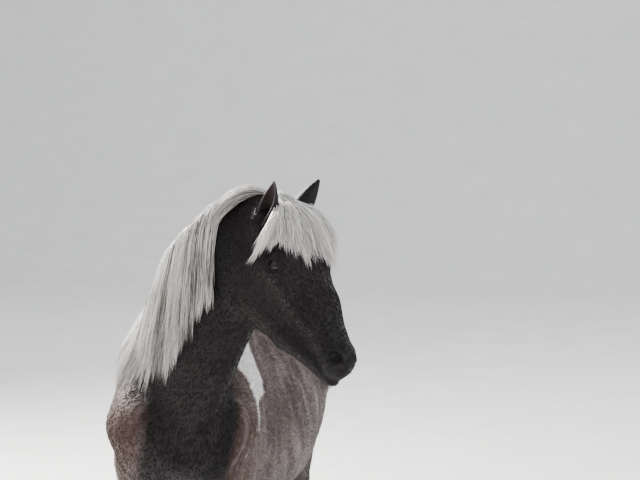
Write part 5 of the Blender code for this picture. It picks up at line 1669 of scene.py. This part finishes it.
def hoof_object(end, word, material):
    """A hoof with rings of growth, a toe that leans forward and a rounded sole edge."""
    x, y = foot_place(end, word)
    place, lean = hoof_top(end, word)
    around, levels = 64, 26
    narrow = 0.94 if end == "hind" else 1.0
    points = []
    for level in range(levels + 1):
        t = level / levels
        grow = 0.99 - 0.19 * t + 0.0035 * math.sin(t * 34.0) * (1 - t) - 0.035 * (1 - smoothstep(t / 0.06))
        grow += 0.020 * smoothstep((t - 0.90) / 0.1)
        for i in range(around):
            phi = 2.0 * math.pi * i / around
            out, fore = math.sin(phi), -math.cos(phi)
            reach = 0.067 if fore < 0 else 0.051
            px = x + 0.059 * narrow * grow * math.copysign(abs(out) ** 0.9, out)
            py = y + reach * grow * fore + 0.020 * t
            top = place.z - lean.y * (py - place.y) / lean.z
            points.append((px, py, top * t))
    points = np.array(points) + SHIFT
    faces, counts = [], []
    for level in range(levels):
        for i in range(around):
            j = (i + 1) % around
            low, high = level * around, (level + 1) * around
            faces += [low + i, low + j, high + j, high + i]
            counts.append(4)
    faces += list(range(around))[::-1]
    faces += [levels * around + i for i in range(around)]
    counts += [around, around]
    obj = new_mesh(f"horn_{end}_{word}", points, faces, counts, None, None, points)
    face_outwards(obj)
    part_of_horse(obj, material, "hoof", f"{end}_hoof_{word}")


# Camera, floor and light


def camera():
    r = Vector((math.cos(VIEW_TURN), math.sin(VIEW_TURN), 0.0))
    ahead = Vector((-math.sin(VIEW_TURN), math.cos(VIEW_TURN), 0.0))
    data = bpy.data.cameras.new("camera")
    data.lens = SENSOR * FOCAL / PHOTO[0]
    data.sensor_width = SENSOR
    obj = bpy.data.objects.new("camera", data)
    obj.location = Vector((*VIEW_MARK, VIEW_HEIGHT)) - r * VIEW_SIDE - ahead * VIEW_DEPTH + Vector(SHIFT)
    pitch = math.atan((PHOTO[1] / 2 - HORIZON) / FOCAL)
    look = ahead * math.cos(pitch) - Vector((0, 0, 1)) * math.sin(pitch)
    obj.rotation_euler = look.to_track_quat("-Z", "Y").to_euler()
    bpy.context.scene.collection.objects.link(obj)
    bpy.context.scene.camera = obj


def lamp(name, place, aim, size, power, colour=(1.0, 1.0, 1.0)):
    data = bpy.data.lights.new(name, "AREA")
    data.size = size
    data.energy = power
    data.color = colour
    obj = bpy.data.objects.new(name, data)
    obj.location = place
    way = Vector(aim) - Vector(place)
    obj.rotation_euler = way.to_track_quat("-Z", "Y").to_euler()
    bpy.context.scene.collection.objects.link(obj)


def studio():
    world = bpy.data.worlds.new("studio")
    world.use_nodes = True
    back = world.node_tree.nodes["Background"]
    back.inputs["Color"].default_value = (0.90, 0.92, 0.95, 1.0)
    back.inputs["Strength"].default_value = 0.85
    bpy.context.scene.world = world
    half, near, bend, steps = 40.0, 14.0, 8.0, 16
    run = [(-half, 0.0), (near, 0.0)]
    for i in range(1, steps + 1):
        t = math.pi / 2 * i / steps
        run.append((near + bend * math.sin(t), bend * (1.0 - math.cos(t))))
    run.append((near + bend, 30.0))
    corners = np.array([(x, y, z) for y, z in run for x in (-half, half)])
    rows = np.arange(len(run) - 1)[:, None] * 2
    floor = new_mesh("floor", corners, (rows + [0, 1, 3, 2]).ravel(), np.full(len(run) - 1, 4))
    material, tree, shader = shader_of("pale_floor", 0.8, 0.2)
    at = node(tree, "ShaderNodeTexCoord").outputs["Object"]
    grain = noise_node(tree, at, 3.0, 4.0)
    tone = ramp(tree, grain, ((0.3, srgb(214, 214, 214)), (0.7, srgb(222, 222, 222))))
    tree.links.new(tone, shader.inputs["Base Color"])
    floor.data.materials.append(material)
    aim = (0.0, -0.3, 1.1)
    lamp("sun_side", (-3.8, 2.8, 4.2), aim, 1.0, 1900.0, (1.0, 0.97, 0.92))
    lamp("front", (3.4, -5.0, 3.0), aim, 4.0, 200.0, (0.95, 0.97, 1.0))
    lamp("right_rear", (4.0, 2.4, 3.6), aim, 3.0, 130.0)
    lamp("backdrop", (0.0, 6.0, 9.0), (0.0, 18.0, 2.0), 8.0, 1500.0)


MANE_LAYERS = (
    # name, strands, side, ends along the crest, lift off the skin, share of length, seed, clumps, node
    ("mane_under", 2600, -1.0, MANE, (0.003, 0.012), 1.0, 31, 46, "mane"),
    ("mane_over", 2600, -1.0, MANE, (0.012, 0.026), 0.93, 32, 34),
    ("mane_left", 900, 1.0, MANE_LEFT, (0.003, 0.018), 1.0, 33, 10),
)
FORELOCK_LAYERS = (
    # name, strands, lift off the skin, share of length, seed, node
    ("forelock_under", 1500, (0.003, 0.014), 1.0, 34, "forelock"),
    ("forelock_over", 1500, (0.012, 0.024), 0.94, 35),
)
TAIL_LAYERS = (
    # name, strands, seed, node
    ("tail_inner", 2600, 36, "tail"),
    ("tail_outer", 2600, 37),
)


def main():
    camera()
    studio()
    field = body_field(*skin_grid())
    sink_skin(field)
    skin = build_skin(field)
    fur = coat_material("coat_short", 0.55, 0.5)
    fur_tufts = coat_material("coat_tufts", 0.60, 0.2, 0.10)
    hair = hair_material("hair_long", 0.42)
    bare = bare_material()
    horn = hoof_material()
    wet = eye_material()
    flesh = ["torso", "neck", "head"]
    flesh += [f"{end}_{part}_{word}" for end in ("fore", "hind") for part in ("upper", "lower")
              for word in ("left", "right")]
    skin_object(skin, fur, flesh)
    coat(skin, fur_tufts)
    for word, side in (("left", 1.0), ("right", -1.0)):
        ear_object(side, word, fur)
        eye_object(side, word, wet)
        lids(side, word, bare)
        for end in ("fore", "hind"):
            hoof_object(end, word, horn)
    for layer in MANE_LAYERS:
        mane_piece(field, hair, *layer)
    crest_piece(field, hair)
    for layer in FORELOCK_LAYERS:
        forelock_piece(field, hair, *layer)
    for layer in TAIL_LAYERS:
        tail_piece(hair, *layer)
    feather_piece(field, hair)
    whisker_piece(hair)


main()
